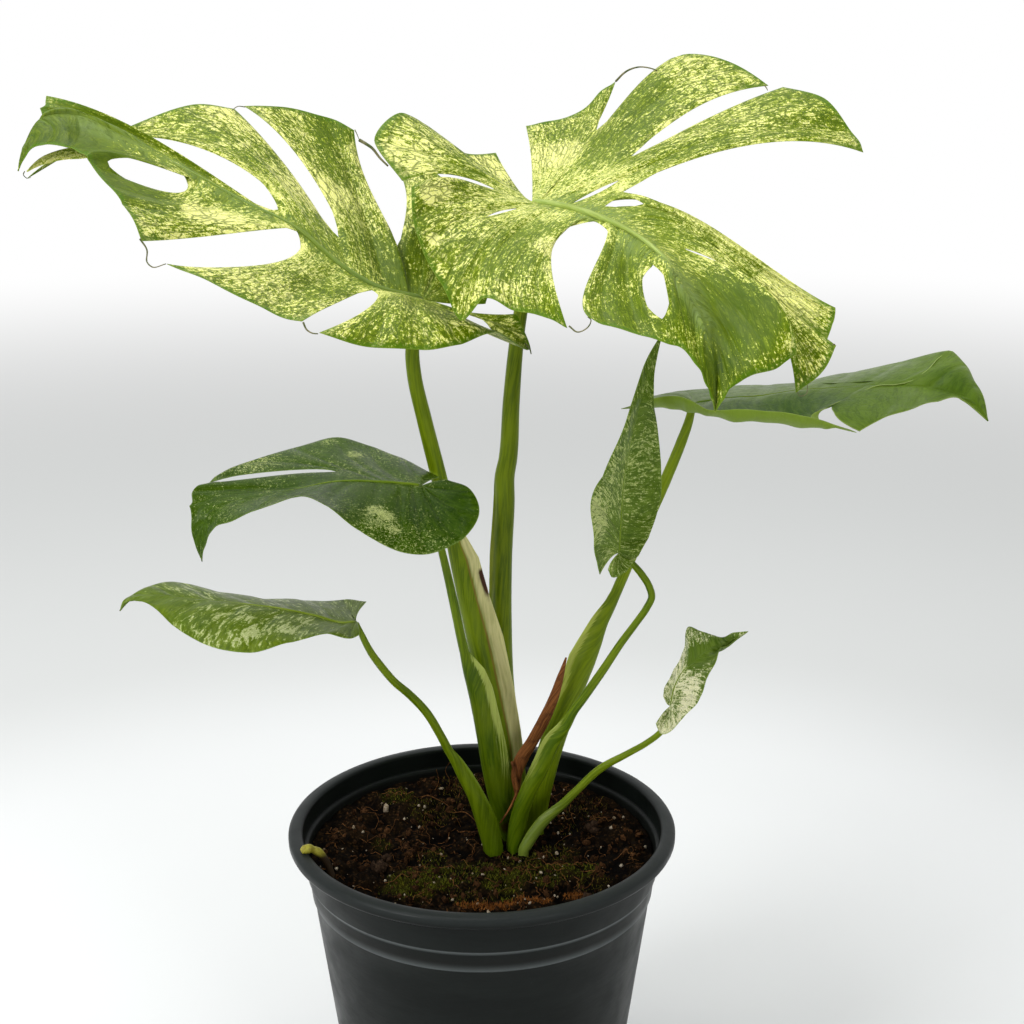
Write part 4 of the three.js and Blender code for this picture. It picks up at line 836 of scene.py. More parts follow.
def blade_surface(leaf, rows, step, fan):
    """The blade's middle surface: points, faces and what is known at each point.

    That is: the place along the midrib, the share of the way outwards, the vein order,
    the distance from the midrib, from a side vein, from a slit and from the free rim.
    """
    midrib = smooth_line(chord_knots(leaf["midrib"]), leaf["midrib"])
    stations = midrib_stations(leaf, step)
    places = np.linspace(0, 1, rows + 1)
    points, known, faces = [], [], []

    def add(point, facts):
        points.append(np.array(point, float))
        known.append(facts)
        return len(points) - 1

    spine = {s: add(midrib(s), (s, 0, 0, 0, 0, FAR_OFF, FAR_OFF)) for s in stations}
    for turn, side in ((1, "far"), (-1, "near")):
        before = None
        order = 0.0
        for number, lobe in enumerate(leaf[side]):
            roots = [midrib(rib[0]) for rib in lobe]
            offsets = []
            for rib, root in zip(lobe, roots):
                outer = list(np.reshape(rib[1:], (-1, 3)))
                offsets.append(through([root] + (outer or [root]), places) - root)
            blend = smooth_line(range(len(lobe)), offsets) if len(lobe) > 1 else None
            columns = lobe_columns(lobe, stations, fan)
            rows_out = [blend(q) if blend else offsets[0] for q, _, _ in columns]
            grid = np.array([midrib(s) + row for row, (_, s, _) in zip(rows_out, columns)])
            grid[[s > 1 - 1e-6 for _, s, _ in columns]] = midrib(1.0)
            spans = leaf[side + "_open"][number - 1] if number else []
            after = leaf[side + "_open"][number] if number + 1 < len(leaf[side]) else []
            open_before = np.array([slit_opening(spans, v) for v in places])
            open_after = np.array([slit_opening(after, v) for v in places])
            # Both lips of a slit are drawn together where it is closed.
            if before is not None:
                left, right = before["grid"][-1], grid[0]
                middle = (left + right) / 2
                opening = open_before[:, None]
                before["grid"][-1] = middle + (left - middle) * opening
                grid[0] = middle + (right - middle) * opening
                count = min(6, len(grid), len(before["grid"]))
                for j in range(1, rows + 1):
                    push = inner_push(spans, places[j])
                    if push:
                        ahead = grid[1][j] - before["grid"][-2][j]
                        ahead /= np.linalg.norm(ahead) + 1e-9
                        for lips, way in ((before["grid"][::-1], -1), (grid, 1)):
                            far = np.linalg.norm(lips[:count, j] - lips[0, j], axis=1)
                            fade = push * np.exp(-(far / INNER_REACH) ** 2)[:, None]
                            lips[:count, j] += ahead * way * fade
                    for k in range(1, count + 1):
                        points[before["ids"][-k][j]] = before["grid"][-k][j]
            # How far each point is from the free margins and from the main veins.
            split = open_holes(grid, columns, places, leaf.get("holes", []), side, number)
            steps = np.linalg.norm(grid[1:] - grid[:-1], axis=2)
            from_first = np.vstack([np.zeros(rows + 1), np.cumsum(steps, axis=0)])
            to_last = from_first[-1] - from_first
            first_free = (open_before > 0) | (number == 0)
            last_free = (open_after > 0) | (number + 1 == len(leaf[side]))
            slit = np.minimum(
                np.where(open_before > 0, from_first, FAR_OFF),
                np.where(open_after > 0, to_last, FAR_OFF),
            )
            outwards = np.linalg.norm(grid[:, 1:] - grid[:, :-1], axis=2)
            reach = np.hstack([np.zeros((len(grid), 1)), np.cumsum(outwards, axis=1)])
            to_rim = reach[:, -1:] - reach
            rim = np.minimum(to_rim, np.where(first_free, from_first, FAR_OFF))
            rim = np.minimum(rim, np.where(last_free, to_last, FAR_OFF))
            veins = list(range(1, len(lobe) - 1)) or [(len(lobe) - 1) / 2]
            across = steps.sum(axis=0) / max(len(lobe) - 1, 1)
            ids = []
            for c, (q, s, shared) in enumerate(columns):
                row = [spine[shared]]
                vein = min(abs(q - v) for v in veins) * across
                for j in range(1, rows + 1):
                    if s > 1 - 1e-6:
                        row.append(spine[1.0])
                    elif c == 0 and before is not None and open_before[j] == 0:
                        row.append(before["ids"][-1][j])
                    else:
                        facts = (s, places[j], order + q, reach[c, j], vein[j])
                        row.append(add(grid[c, j], facts + (slit[c, j], rim[c, j])))
                ids.append(row)
            # Past a hole, the next column starts from the hole's other lip.
            lips = {}
            for c, other in split.items():
                lips[c] = list(ids[c])
                for j, point in other.items():
                    facts = known[ids[c][j]][:5] + (HOLE_RIM, HOLE_RIM)
                    known[ids[c][j]] = facts
                    lips[c][j] = add(point, facts)
            pairs = [(lips.get(c, ids[c]), ids[c + 1]) for c in range(len(ids) - 1)]
            for a, b in pairs:
                for j in range(rows):
                    corners = []
                    for corner in (a[j], b[j], b[j + 1], a[j + 1]):
                        if corner not in corners:
                            corners.append(corner)
                    if len(corners) > 2:
                        faces.append(corners[::turn])
            before = {"grid": grid, "ids": ids}
            order += len(lobe)
    points = np.array(points)
    total = np.zeros(3)
    for face in faces:
        a, b, c = (points[i] for i in face[:3])
        total += np.cross(b - a, c - a)
    if total @ np.array(leaf["faces"], float) < 0:
        faces = [face[::-1] for face in faces]
    return points, faces, np.array(known)


def point_normals(points, faces):
    normals = np.zeros_like(points)
    for face in faces:
        corners = points[face]
        normal = np.zeros(3)
        for k in range(1, len(face) - 1):
            normal += np.cross(corners[k] - corners[0], corners[k + 1] - corners[0])
        for i in face:
            normals[i] += normal
    return normals / (np.linalg.norm(normals, axis=1)[:, None] + 1e-12)


# How wide the pattern takes the strip between two side veins to be.
VEIN_WIDTH = 14


def thick_blade(name, points, faces, known, thickness, materials):
    """Upper face, under face and a rim wall from the blade's middle surface."""
    normals = point_normals(points, faces)
    half = thickness / 2 * smoothstep(-0.6, 0.8, known[:, 6])[:, None]
    upper = points + normals * half
    lower = points - normals * half
    count = len(points)
    sides = dict.fromkeys(pair for face in faces for pair in zip(face, face[1:] + face[:1]))
    rim = [(a, b) for a, b in sides if (b, a) not in sides]
    everything = list(faces)
    everything += [[i + count for i in face[::-1]] for face in faces]
    everything += [[b, a, a + count, b + count] for a, b in rim]
    slots = [0] * len(faces) + [1] * len(faces) + [0] * len(rim)
    crisp = rim + [(a + count, b + count) for a, b in rim]
    piece = make_mesh(name, np.vstack([upper, lower]), everything, materials, slots, True, crisp)
    double = np.vstack([known, known])
    _, away, order, reach, rib, slit, margin = double.T
    give_uv(piece, np.stack([order * VEIN_WIDTH, reach], axis=1))
    give(piece, away=away, reach=reach, rib=rib, slit=slit, rim=margin)
    return piece


def patch_values(points, patches):
    """A soft value near the given places: x, y, z, radius and strength."""
    total = np.zeros(len(points))
    for x, y, z, radius, strength in patches:
        far = np.linalg.norm(points - (x, y, z), axis=1) / radius
        total += strength * (1 - smoothstep(0.3, 1.0, far))
    return total


def blade_material(name, look, under=False):
    """A variegated leaf: pale specks that run along the side veins on a green ground."""
    m = Skin(name)
    place = m.place()
    moved = m.shift(place, 0.22, 2.4)
    flow = m.shift(m.vein(), 0.12, 3.0)
    away, reach = m.value("away"), m.value("reach")
    # Long streaks along the veins, round specks, and small sharp dots.
    streaks = m.noise(m.stretch(flow, (0.95, 0.18, 1)), look["fine"], 4.0, 0.64)
    specks = m.noise(moved, 0.75 * look["fine"], 5.0, 0.7)
    dots = m.noise(moved, 2.2 * look["fine"], 3.0, 0.7)
    drift = m.noise(place, 0.034, 3.0, 0.55)
    grain = m.math("MULTIPLY", streaks, look["streak"])
    left = 1 - look["dots"] - look["streak"]
    grain = m.math("ADD", grain, m.math("MULTIPLY", specks, left))
    grain = m.math("ADD", grain, m.math("MULTIPLY", dots, look["dots"]))
    # Where the pale specks crowd: slit margins, the marked patches and a slow drift.
    margin = m.ramp(m.value("slit"), 0.6, look["margin_reach"], look["margin"], 0.0)
    margin = m.math("MULTIPLY", margin, m.ramp(m.noise(place, 0.09), 0.35, 0.6, 0.2, 1.0))
    crowd = m.math("ADD", m.ramp(drift, 0.36, 0.64, -look["drift"], look["drift"]), margin)
    crowd = m.math("ADD", crowd, m.math("MULTIPLY", m.value("tone"), 0.12))
    crowd = m.math("SUBTRACT", crowd, m.math("MULTIPLY", m.value("deep"), 0.05))
    bare = m.ramp(reach, 3.0, look["plain_reach"], look["plain"], 0.0)
    crowd = m.math("SUBTRACT", crowd, bare)
    crowd = m.math("ADD", crowd, look["density"] - 0.5)
    level = m.math("ADD", grain, crowd)
    half, pale = m.ramp(level, -0.05, 0.0), m.ramp(level, -0.004, 0.034)
    # The green ground and its darker net of veins.
    ground = m.mix(m.ramp(drift, 0.35, 0.65), look["green"], look["green_two"])
    # Near the midrib the ground turns a greyer green: partly the leaf's own plain band, partly a
    # painted sheen.
    close = m.ramp(reach, 2.0, look["plain_reach"] * 1.3, look["plain_and_sheen"], 0.0)
    ground = m.mix(close, ground, look["middle"])
    ground = m.mix(m.value("deep"), ground, look["deep"])
    light = (m.stretch(flow, (0.5, 0.1, 1)), 1.0, 3.0, 0.6)
    ground = m.patches(ground, look["light"], light, 0.35, 0.65, 0.5)
    dark = (m.stretch(flow, (0.8, 0.08, 1)), 1.1, 4.0, 0.65)
    ground = m.patches(ground, look["net_colour"], dark, 0.49, 0.6, look["lines"])
    cream = m.mix(m.ramp(dots, 0.35, 0.65), look["cream_two"], look["cream"])
    colour = m.mix(pale, m.mix(half, ground, look["lime"]), cream)
    lines = m.noise(m.stretch(flow, (0.3, 0.022, 1)), 1.0, 2.0, 0.5)
    ridge = m.math("ABSOLUTE", m.math("SUBTRACT", lines, 0.5))
    strand = m.ramp(ridge, 0.006, 0.03, look["strands"], 0.0)
    edge = m.cells(m.stretch(flow, (1, 0.5, 1)), 0.28, "DISTANCE_TO_EDGE")["Distance"]
    net = m.ramp(edge, 0.012, 0.085, look["net"], 0.0)
    net = m.math("MAXIMUM", strand, net)
    net = m.math("MULTIPLY", net, m.ramp(away, 0.12, 0.45, 0.15, 1.0))
    side_vein = m.ramp(m.value("rib"), 0.2, 0.8, look["vein"], 0.0)
    side_vein = m.math("MULTIPLY", side_vein, m.ramp(away, 0.8, 1.0, 1.0, 0.2))
    net = m.math("MAXIMUM", net, side_vein)
    lined = m.mix(m.ramp(away, 0.1, 0.4), look["vein_colour"], look["net_colour"])
    colour = m.mix(net, colour, lined)
    # The free rim: a dark band outside, a thin pale line where it ends.
    band = m.math("ADD", m.value("rim"), m.ramp(specks, 0.3, 0.7, -1.2, 1.2))
    band = m.ramp(band, 0.6, 3.2, look["band"], 0.0)
    outer = m.ramp(away, 0.8, 0.97)
    colour = m.mix(m.math("MULTIPLY", band, outer), colour, look["band_colour"])
    thin = m.ramp(m.value("rim"), 0.1, 0.5, look["rim"], 0.0)
    colour = m.mix(thin, colour, look["rim_colour"])
    if under:
        colour = m.mix(look["below"], colour, look["under"])
    # Relief: sunken side veins, a faint net and a fine grain.
    fine = m.bump(m.noise(place, 2.6, 3.0, 0.6), 0.1, 0.25)
    netted = m.math("ADD", m.ramp(edge, 0.0, 0.12), m.ramp(ridge, 0.0, 0.03))
    netted = m.bump(netted, 0.14, 0.25, fine)
    low, high = (1.0, 0.0) if under else (0.0, 1.0)
    sink = m.ramp(m.value("rib"), 0.0, 2.4, low, high)
    normal = m.bump(sink, 0.45, 0.5, netted)
    low, high = (0.5, 0.62) if under else look["gloss"]
    rough = m.ramp(m.noise(place, 0.2, 3.0, 0.6), 0.3, 0.7, low, high)
    return m.finish(
        colour=colour, rough=rough, normal=normal, specular=0.12 if under else look["shine"],
        soft=0.08, soft_reach=(0.9, 1.0, 0.3), soft_scale=0.0012,
    )


# middle is the greyer green of the ground near the midrib: partly the leaf's own plain band,
# partly a painted sheen.
MINT = {
    "fine": 1.0, "streak": 0.4, "dots": 0.2, "density": -0.012, "drift": 0.03, "margin": 0.05,
    "margin_reach": 5.0, "plain": 0.026, "plain_reach": 13.0, "plain_and_sheen": 0.75,
    "green": (94, 118, 2), "green_two": (74, 100, 0), "deep": (48, 74, 0),
    "middle": (116, 138, 66), "light": (122, 140, 24), "lime": (158, 174, 40),
    "cream": (250, 249, 170), "cream_two": (226, 228, 112),
    "strands": 0.85, "net": 0.72, "lines": 0.7, "net_colour": (74, 96, 0), "vein": 0.3,
    "vein_colour": (132, 158, 76), "band": 0.85, "band_colour": (76, 112, 4), "rim": 0.25,
    "rim_colour": (150, 166, 60), "under": (92, 112, 52), "below": 0.4,
    "gloss": (0.32, 0.44), "shine": 0.1,
}
GREEN = dict(
    MINT, density=-0.14, drift=0.02, margin=0.0, plain=0.0, plain_and_sheen=0.2, strands=0.2, net=0.15,
    lines=0.35, vein=0.1, band=0.0, rim=0.45, green=(64, 92, 6), green_two=(52, 82, 2),
    deep=(34, 62, 0), middle=(84, 108, 34), light=(90, 116, 28), lime=(104, 128, 40),
    cream=(214, 216, 160), cream_two=(160, 176, 96), vein_colour=(104, 132, 40),
    net_colour=(38, 64, 0), rim_colour=(120, 144, 60), gloss=(0.28, 0.4),
)
LOOKS = {
    "a": MINT,
    "b": dict(MINT, density=-0.02, fine=1.05, plain=0.012, middle=(124, 144, 82)),
    "c": dict(
        GREEN, density=-0.13, fine=1.1, green=(98, 124, 26), green_two=(84, 112, 16),
        deep=(48, 78, 4), under=(128, 152, 50), below=0.7, rim_colour=(160, 176, 96),
        shine=0.08,
    ),
    "d": dict(
        GREEN, density=-0.072, fine=1.3, streak=0.1, dots=0.45, green=(58, 84, 0),
        green_two=(46, 74, 0), deep=(28, 56, 0), light=(76, 104, 18), middle=(80, 106, 26),
        lime=(104, 128, 50),
        cream=(214, 218, 150), gloss=(0.24, 0.34), shine=0.09,
    ),
    "e": dict(
        GREEN, density=-0.075, drift=0.03, streak=0.6, fine=0.85, green=(90, 112, 8),
        green_two=(74, 98, 2), deep=(56, 80, 0), light=(112, 130, 30), lime=(130, 148, 62),
        cream=(200, 206, 150), cream_two=(158, 172, 104),
    ),
    "f": dict(
        GREEN, density=-0.04, fine=1.2, streak=0.55, green=(86, 112, 20), green_two=(72, 100, 10),
        light=(108, 132, 40), lime=(126, 148, 62), cream=(204, 210, 140),
        cream_two=(158, 174, 92), net=0.3,
    ),
    "g": dict(
        GREEN, density=-0.022, drift=0.045, streak=0.45, fine=0.9, green=(80, 104, 20),
        green_two=(66, 92, 10), deep=(44, 68, 4), lime=(150, 164, 96), strands=0.4,
        cream=(236, 232, 200), cream_two=(208, 208, 158), light=(112, 132, 52),
    ),
}


def stalk_material(name, green, deep, pale, ragged=0.3, line=0.0, foot=None):
    """A fresh stalk: long streaks, a paler sheath edge and a few scuffs."""
    m = Skin(name)
    place = m.place()
    lines = m.noise(m.vein((1.1, 0.06, 1)), 1.0, 4.0, 0.6)
    colour = m.mix(m.ramp(lines, 0.38, 0.62), deep, green)
    colour = m.patches(colour, (122, 140, 12), (place, 0.05), 0.35, 0.7, 0.4)
    marks = m.noise(m.vein((2.4, 0.07, 1)), 1.0, 4.0, 0.65)
    edge = m.math("ADD", m.value("wing"), m.ramp(marks, 0.3, 0.7, -ragged, ragged))
    inside = m.math("ABSOLUTE", m.math("SUBTRACT", m.value("wing"), 0.25))
    worn = m.mix(m.ramp(lines, 0.4, 0.7, 0.0, 0.45), pale, (146, 148, 76))
    colour = m.mix(m.ramp(edge, 0.2, 0.85), colour, worn)
    colour = m.mix(m.ramp(inside, 0.02, 0.2, line, 0.0), colour, (140, 96, 52))
    colour = m.mix(m.value("foot"), colour, foot or (58, 82, 0))
    colour = m.mix(m.value("brown"), colour, (66, 36, 20))
    colour = m.patches(colour, (120, 124, 40), (place, 1.4, 3.0, 0.7), 0.68, 0.76, 0.3)
    ridges = m.bump(lines, 0.25, 0.35)
    normal = m.bump(m.noise(place, 2.5, 3.0), 0.08, 0.2, ridges)
    rough = m.ramp(lines, 0.3, 0.7, 0.36, 0.5)
    return m.finish(
        colour=colour, rough=rough, normal=normal, specular=0.16,
        soft=0.12, soft_reach=(0.9, 1.0, 0.3), soft_scale=0.0016,
    )


def pot_material():
    """Charcoal moulded plastic with a satin skin, faint flow marks and dust."""
    m = Skin("pot_charcoal")
    place = m.place()
    around = (m.stretch(place, (1, 1, 6)), 0.02, 3.0, 0.55)
    colour = m.patches((11, 16, 14), (17, 22, 20), around, 0.3, 0.7)
    colour = m.patches(colour, (70, 72, 68), (place, 0.9, 4.0, 0.7), 0.66, 0.8, 0.35)
    # Painted highlight on the two ring lines and a painted reflection on the rim's top.
    colour = m.mix(m.value("worn"), colour, (92, 98, 98))
    colour = m.mix(m.value("inner"), colour, (18, 20, 18))
    fine = m.bump(m.noise(place, 4.0, 2.0), 0.06, 0.12)
    normal = m.bump(m.noise(m.stretch(place, (1, 1, 3)), 0.12, 3.0), 0.15, 0.6, fine)
    rough = m.ramp(m.noise(place, 0.08, 3.0), 0.3, 0.7, 0.34, 0.46)
    return m.finish(colour=colour, rough=rough, normal=normal, specular=0.14)


def earth_material(name, dark, mid, light, grain=1.1, rough_from=0.75):
    """Crumbly matter: three browns mixed by clumps, painted shade between the crumbs and in low
    places, and a rough skin.
    """
    m = Skin(name)
    place = m.place()
    clumps = m.noise(place, 0.3 * grain, 5.0, 0.7, 0.4)
    colour = m.mix(m.ramp(clumps, 0.38, 0.62), dark, mid)
    crumbs = m.cells(m.shift(place, 0.8, 1.0), 0.9 * grain)
    pick = m.node("ShaderNodeSeparateColor", {"Color": crumbs["Color"]})
    colour = m.mix(m.ramp(pick.outputs["Red"], 0.72, 0.95, 0.0, 0.6), colour, light)
    colour = m.mix(m.math("MULTIPLY", m.value("tone"), 0.8), colour, light)
    # Painted shade: darker in the gaps between the crumbs.
    shade = m.ramp(crumbs["Distance"], 0.2, 0.8, 0.0, 0.6)
    colour = m.mix(shade, colour, dark)
    green = m.math("MULTIPLY", m.value("mossy"), m.ramp(clumps, 0.36, 0.56, 0.35, 1.0))
    colour = m.mix(green, colour, (44, 44, 4))
    # Painted shade: near black in the soil's low places.
    colour = m.mix(m.value("low"), colour, (3, 2, 2))
    normal = m.bump(m.noise(place, 1.2 * grain, 4.0, 0.7), 0.6, 0.8)
    rough = m.ramp(clumps, 0.3, 0.7, rough_from, 0.95)
    return m.finish(colour=colour, rough=rough, normal=normal, specular=0.03)


# Soft pale and dark places of each blade: x, y, z, radius and strength.
PALE = {
    "a": [
        (-162, 12, 436, 30, -0.8), (-135, -14, 417, 30, -0.75), (-144, 4, 428, 26, -0.6),
        (-139, 31, 432, 16, -0.7), (-112, 29, 418, 12, -0.5), (-155, 31, 439, 14, -0.5),
        (-97, -2, 402, 9, 1.5), (-106, -10, 405, 9, 1.2), (-43, 35, 381, 26, -0.1),
        (-37, 26, 374, 18, -0.1), (-104, 72, 437, 24, 0.55), (-75, 51, 407, 20, 0.5),
        (-21, -32, 368, 26, 0.15), (-66, 96, 431, 18, -0.6), (-62, 60, 402, 12, 0.4),
        (-93, -40, 395, 22, 0.3),
    ],
    "b": [
        (33, 20, 402, 14, 0.15), (33, 77, 420, 16, 1.0), (-14, -19, 388, 20, 0.2),
        (-25, 42, 424, 22, 0.5), (-20, 4, 409, 5, 1.6), (-16, 10, 415, 12, 0.6),
        (-17, -12, 395, 4, 1.6), (8, 76, 417, 22, 0.9), (26, 66, 414, 18, 0.4),
        (81, -47, 377, 36, -0.42), (93, -60, 365, 30, -0.3), (60, -62, 372, 22, -0.3),
        (53, -25, 389, 20, -0.3), (61, -6, 398, 22, -0.05), (60, -6, 398, 12, 0.25),
        (116, -34, 379, 20, 0.7), (130, 46, 434, 22, -0.2), (0, 30, 409, 12, -0.15),
        (26, -12, 393, 9, 0.8), (145, 52, 438, 14, -0.3), (62, 79, 436, 20, -0.2),
    ],
    "c": [
        (185, 25, 331, 30, -0.8), (62, 36, 320, 12, 1.1), (84, 16, 322, 8, 0.8),
        (118, -8, 323, 30, 0.2),
    ],
    "d": [
        (-41, -21, 290, 5, 0.7), (-36, -24, 288, 5, 0.75), (-33, -30, 285, 4, 0.7),
        (-40, -28, 288, 9, 0.3), (-54, 36, 297, 6, 0.7), (-66, 49, 299, 6, 0.6),
        (-95, 30, 295, 14, 0.3), (-20, -24, 286, 14, 0.2), (-70, 0, 296, 22, -0.4),
    ],
    "e": [
        (-92, -50, 247, 8, 0.7), (-86, -46, 248, 6, 0.75), (-74, -42, 247, 7, 0.8),
        (-68, -30, 247, 6, 0.8), (-102, -53, 246, 6, 0.6), (-98, -38, 250, 12, 0.2),
        (-131, -27, 253, 16, -0.4), (-80, -50, 247, 22, 0.25),
    ],
    "f": [
        (47, -20, 286, 12, 0.5), (51, -12, 267, 8, 0.4), (44, -24, 295, 8, 0.4),
        (67, 2, 329, 18, -0.2),
    ],
    "g": [
        (85, -20, 210, 9, 0.35), (76, -20, 196, 6, 0.4), (90, -20, 217, 6, 0.5),
        (98, -14, 230, 9, -1.4), (89, -11, 224, 8, -0.9), (83, -14, 207, 5, -0.3),
        (79, -22, 203, 4, 0.6), (87, -24, 228, 5, 0.9),
    ],
}
DEEP = {
    "a": [
        (-43, 35, 381, 24, 0.3), (-34, 28, 374, 16, 0.2), (-20, 50, 385, 20, 0.4),
        (-166, 6, 434, 24, 0.8),
    ],
    "b": [
        (98, -50, 372, 20, 0.5), (86, -72, 356, 15, 0.9), (105, -28, 381, 12, 0.4),
        (-12, -30, 372, 9, 0.8),
    ],
    "c": [
        (194, 25, 330, 14, 0.6), (100, 10, 322, 24, 0.9), (122, 6, 323, 24, 0.9),
        (138, 12, 326, 18, 0.8),
    ],
    "d": [(-14, -18, 289, 26, 0.7), (-108, -8, 275, 14, 0.5)],
    "e": [],
    "f": [(62, -3, 272, 10, 0.3)],
    "g": [(99, -15, 231, 8, 0.8)],
}
SLOTS = {
    "a": "mint_blade", "b": "mint_blade", "c": "green_blade", "d": "green_blade",
    "e": "marbled_blade", "f": "marbled_blade", "g": "cream_blade",
}
# Midrib width at the base, in millimetres.
MIDRIBS = {"a": 1.7, "b": 1.9, "c": 0.8, "d": 0.9, "e": 1.0, "f": 0.6, "g": 0.5}


def relief(points, faces, known, size):
    """Bulges between the side veins, sinks along them and gently waves the margins."""
    normals = point_normals(points, faces)
    away, rib, rim = known[:, 1], known[:, 4], known[:, 6]
    quilt = np.cos(np.clip(rib / (9.0 * size), 0, 1) * math.pi)
    fade = smoothstep(0.0, 0.15, away) * smoothstep(0.0, 3.0, rim)
    height = -0.38 * size * quilt * fade
    order = known[:, 2]
    wave = np.sin(order * 2.9 + away * 5.1) + 0.6 * np.sin(order * 5.3 + 1.7 + away * 2.2)
    margin = smoothstep(0.45, 1.0, away) * (1 - smoothstep(0.96, 1.0, known[:, 0]))
    height += 0.35 * size * wave * margin
    return points + normals * height[:, None]


# The two greens of each midrib.
RIB_GREEN = {
    "a": ((134, 156, 82), (112, 138, 62)), "b": ((166, 184, 96), (140, 162, 74)),
    "c": ((90, 116, 20), (74, 104, 10)), "e": ((146, 162, 76), (112, 134, 34)),
}
OTHER_RIB_GREEN = ((120, 144, 40), (92, 120, 16))
RIB_ROWS, RIB_SIDES = 60, 12


def make_midrib(key, points, faces, known):
    """A tapered ridge that grows out of the stalk and stands proud of the blade above."""
    stalk_top = STALKS[key]["rows"][0][:3]
    spine = np.where(known[:, 1] == 0)[0]
    spine = spine[np.argsort(known[spine, 0])]
    midrib = smooth_line(known[spine, 0], points[spine])
    lifts = smooth_line(known[spine, 0], point_normals(points, faces)[spine])
    places = np.linspace(0, 1, RIB_ROWS)
    normals = np.array([lifts(x) for x in places * 0.97])
    radii = MIDRIBS[key] * ((1 - places) ** 0.9 * 0.85 + 0.15)
    lift = radii * 0.3 - (radii * 0.95 - 0.1) * smoothstep(0.3, 0.75, places)
    path = np.array([midrib(x) for x in places * 0.97]) + normals * lift[:, None]
    path = np.vstack([[stalk_top], path[1:]])
    greens = RIB_GREEN.get(key, OTHER_RIB_GREEN)
    skin = stalk_material(f"midrib_{key}_skin", *greens, (180, 188, 110))
    ridge = make_mesh(f"midrib_{key}", *tube(path, radii, RIB_SIDES, 0.7, normals), [skin])
    rows = np.arange(RIB_ROWS)
    give_uv(ridge, rod_uv(rows[:, None] * 0.2 + np.arange(RIB_SIDES), rows * 3.0))
    give(ridge, wing=0, foot=0, brown=0)
    settle(ridge, SLOTS[key])


for key, leaf in LEAVES.items():
    large = key in "ab"
    rows, step, fan = (44, 0.0115, 11) if large else (26, 0.02, 8)
    points, faces, known = blade_surface(leaf, rows, step, fan)
    points = relief(points, faces, known, 1.0 if large else 0.55)
    look = LOOKS[key]
    upper = blade_material(f"blade_{key}_upper", look)
    under = blade_material(f"blade_{key}_under", look, under=True)
    blade = thick_blade(f"blade_{key}", points, faces, known, BLADE_THICKNESS, [upper, under])
    double = np.vstack([points, points])
    give(blade, tone=patch_values(double, PALE[key]), deep=patch_values(double, DEEP[key]))
    settle(blade, SLOTS[key], f"leaf_{key}")
    make_midrib(key, points, faces, known)


def stalk_sections(rows, foot, steps=8):
    """Sections down a stalk: middle, direction, reaches and share of the way down."""
    x, y, radius = foot
    end = (x, y, SOIL_Z + 2.0, radius, radius, radius)
    everything = np.array(rows + [end], float)
    centre = smooth_line(chord_knots(everything[:, :3]), everything[:, :3])
    knots = chord_knots(everything[:, :3])
    sections = []
    for i in range(len(everything) - 1):
        for k in range(steps):
            share = k / steps
            place = knots[i] + (knots[i + 1] - knots[i]) * share
            up = centre(max(0, place - 0.01)) - centre(min(1, place + 0.01))
            reach = everything[i, 3:] * (1 - share) + everything[i + 1, 3:] * share
            sections.append((centre(place), up, reach, place))
    sections.append((everything[-1, :3], np.array([0, 0, 1.0]), everything[-1, 3:], 1.0))
    sections.append((np.array([x, y, SOIL_Z - 8]), np.array([0, 0, 1.0]), everything[-1, 3:], 1.0))
    return sections


def stalk_shape(sections, sides, curl, thin, pale_from=0.5):
    """Skin over the sections; a wide side becomes a thin sheath that curls forward."""
    points, flat, wing, run = [], [], [], []
    length = 0.0
    last = None
    for middle, up, reach, place in sections:
        if last is not None:
            length += np.linalg.norm(middle - last)
        last = middle
        left, right, depth = reach
        across = np.array([up[2], 0, -up[0]])
        across /= np.linalg.norm(across)
        back = np.cross(up / np.linalg.norm(up), across)
        for k in range(sides):
            turn = 2 * math.pi * k / sides
            c, s = math.cos(turn), math.sin(turn)
            side = right if c > 0 else left
            core = min(min(left, right) * 1.12, side)
            x = c * side
            if side > core * 1.05:
                inside = max(0.0, 1 - (x / core) ** 2) ** 0.5 * depth
                skirt = thin * (1 - abs(c) ** 8) ** 0.5 * min(1.0, (side - core) / 1.5)
                y = math.copysign(max(inside, skirt), s) if abs(s) > 1e-6 else 0.0
                beyond = max(0.0, abs(x) - core * 0.8)
                y -= curl * beyond ** 2 / max(side, 1.0)
                pale = smoothstep(pale_from, pale_from + 0.35, abs(c))
                wing.append(pale * min(1, (side - core) / 2.0))
            else:
                y = s * depth
                wing.append(0.0)
            points.append(middle + across * x + back * y)
            flat.append((k * 0.8 * min(left, right) / 4, length))
            run.append(place)
    faces = rod_faces(len(sections), sides, (3, 2, 1, 0), True)
    return points, faces, flat, np.array(wing), np.array(run)


# How strongly each sheath curls towards the viewer, and the colour of its edge.
SHEATHS = {
    "a": (0.32, (216, 210, 150)), "b": (0.2, (150, 162, 60)),
    "c": (0.3, (176, 188, 84)), "d": (0.3, (176, 190, 96)),
    "e": (0.25, (120, 144, 40)), "f": (0.3, (164, 180, 84)),
    "g": (0.25, (170, 182, 120)),
}
STALK_GREEN = {
    "a": ((114, 134, 4), (84, 106, 0)), "b": ((108, 126, 2), (78, 98, 0)),
    "c": ((118, 138, 10), (88, 110, 2)), "d": ((96, 120, 4), (66, 92, 0)),
    "e": ((112, 134, 12), (84, 106, 2)), "f": ((102, 124, 8), (70, 96, 0)),
    "g": ((118, 138, 24), (90, 112, 8)),
}
# How far out on the sheath its pale edge begins, 0 to 1, how ragged it is, and
# how strong the brownish line inside it.
EDGES = {
    "a": (0.3, 0.1, 0.6), "b": (0.5, 0.2, 0.0), "c": (0.45, 0.35, 0.0), "d": (0.4, 0.35, 0.0),
    "e": (0.6, 0.3, 0.0), "f": (0.45, 0.35, 0.0), "g": (0.1, 0.35, 0.0),
}
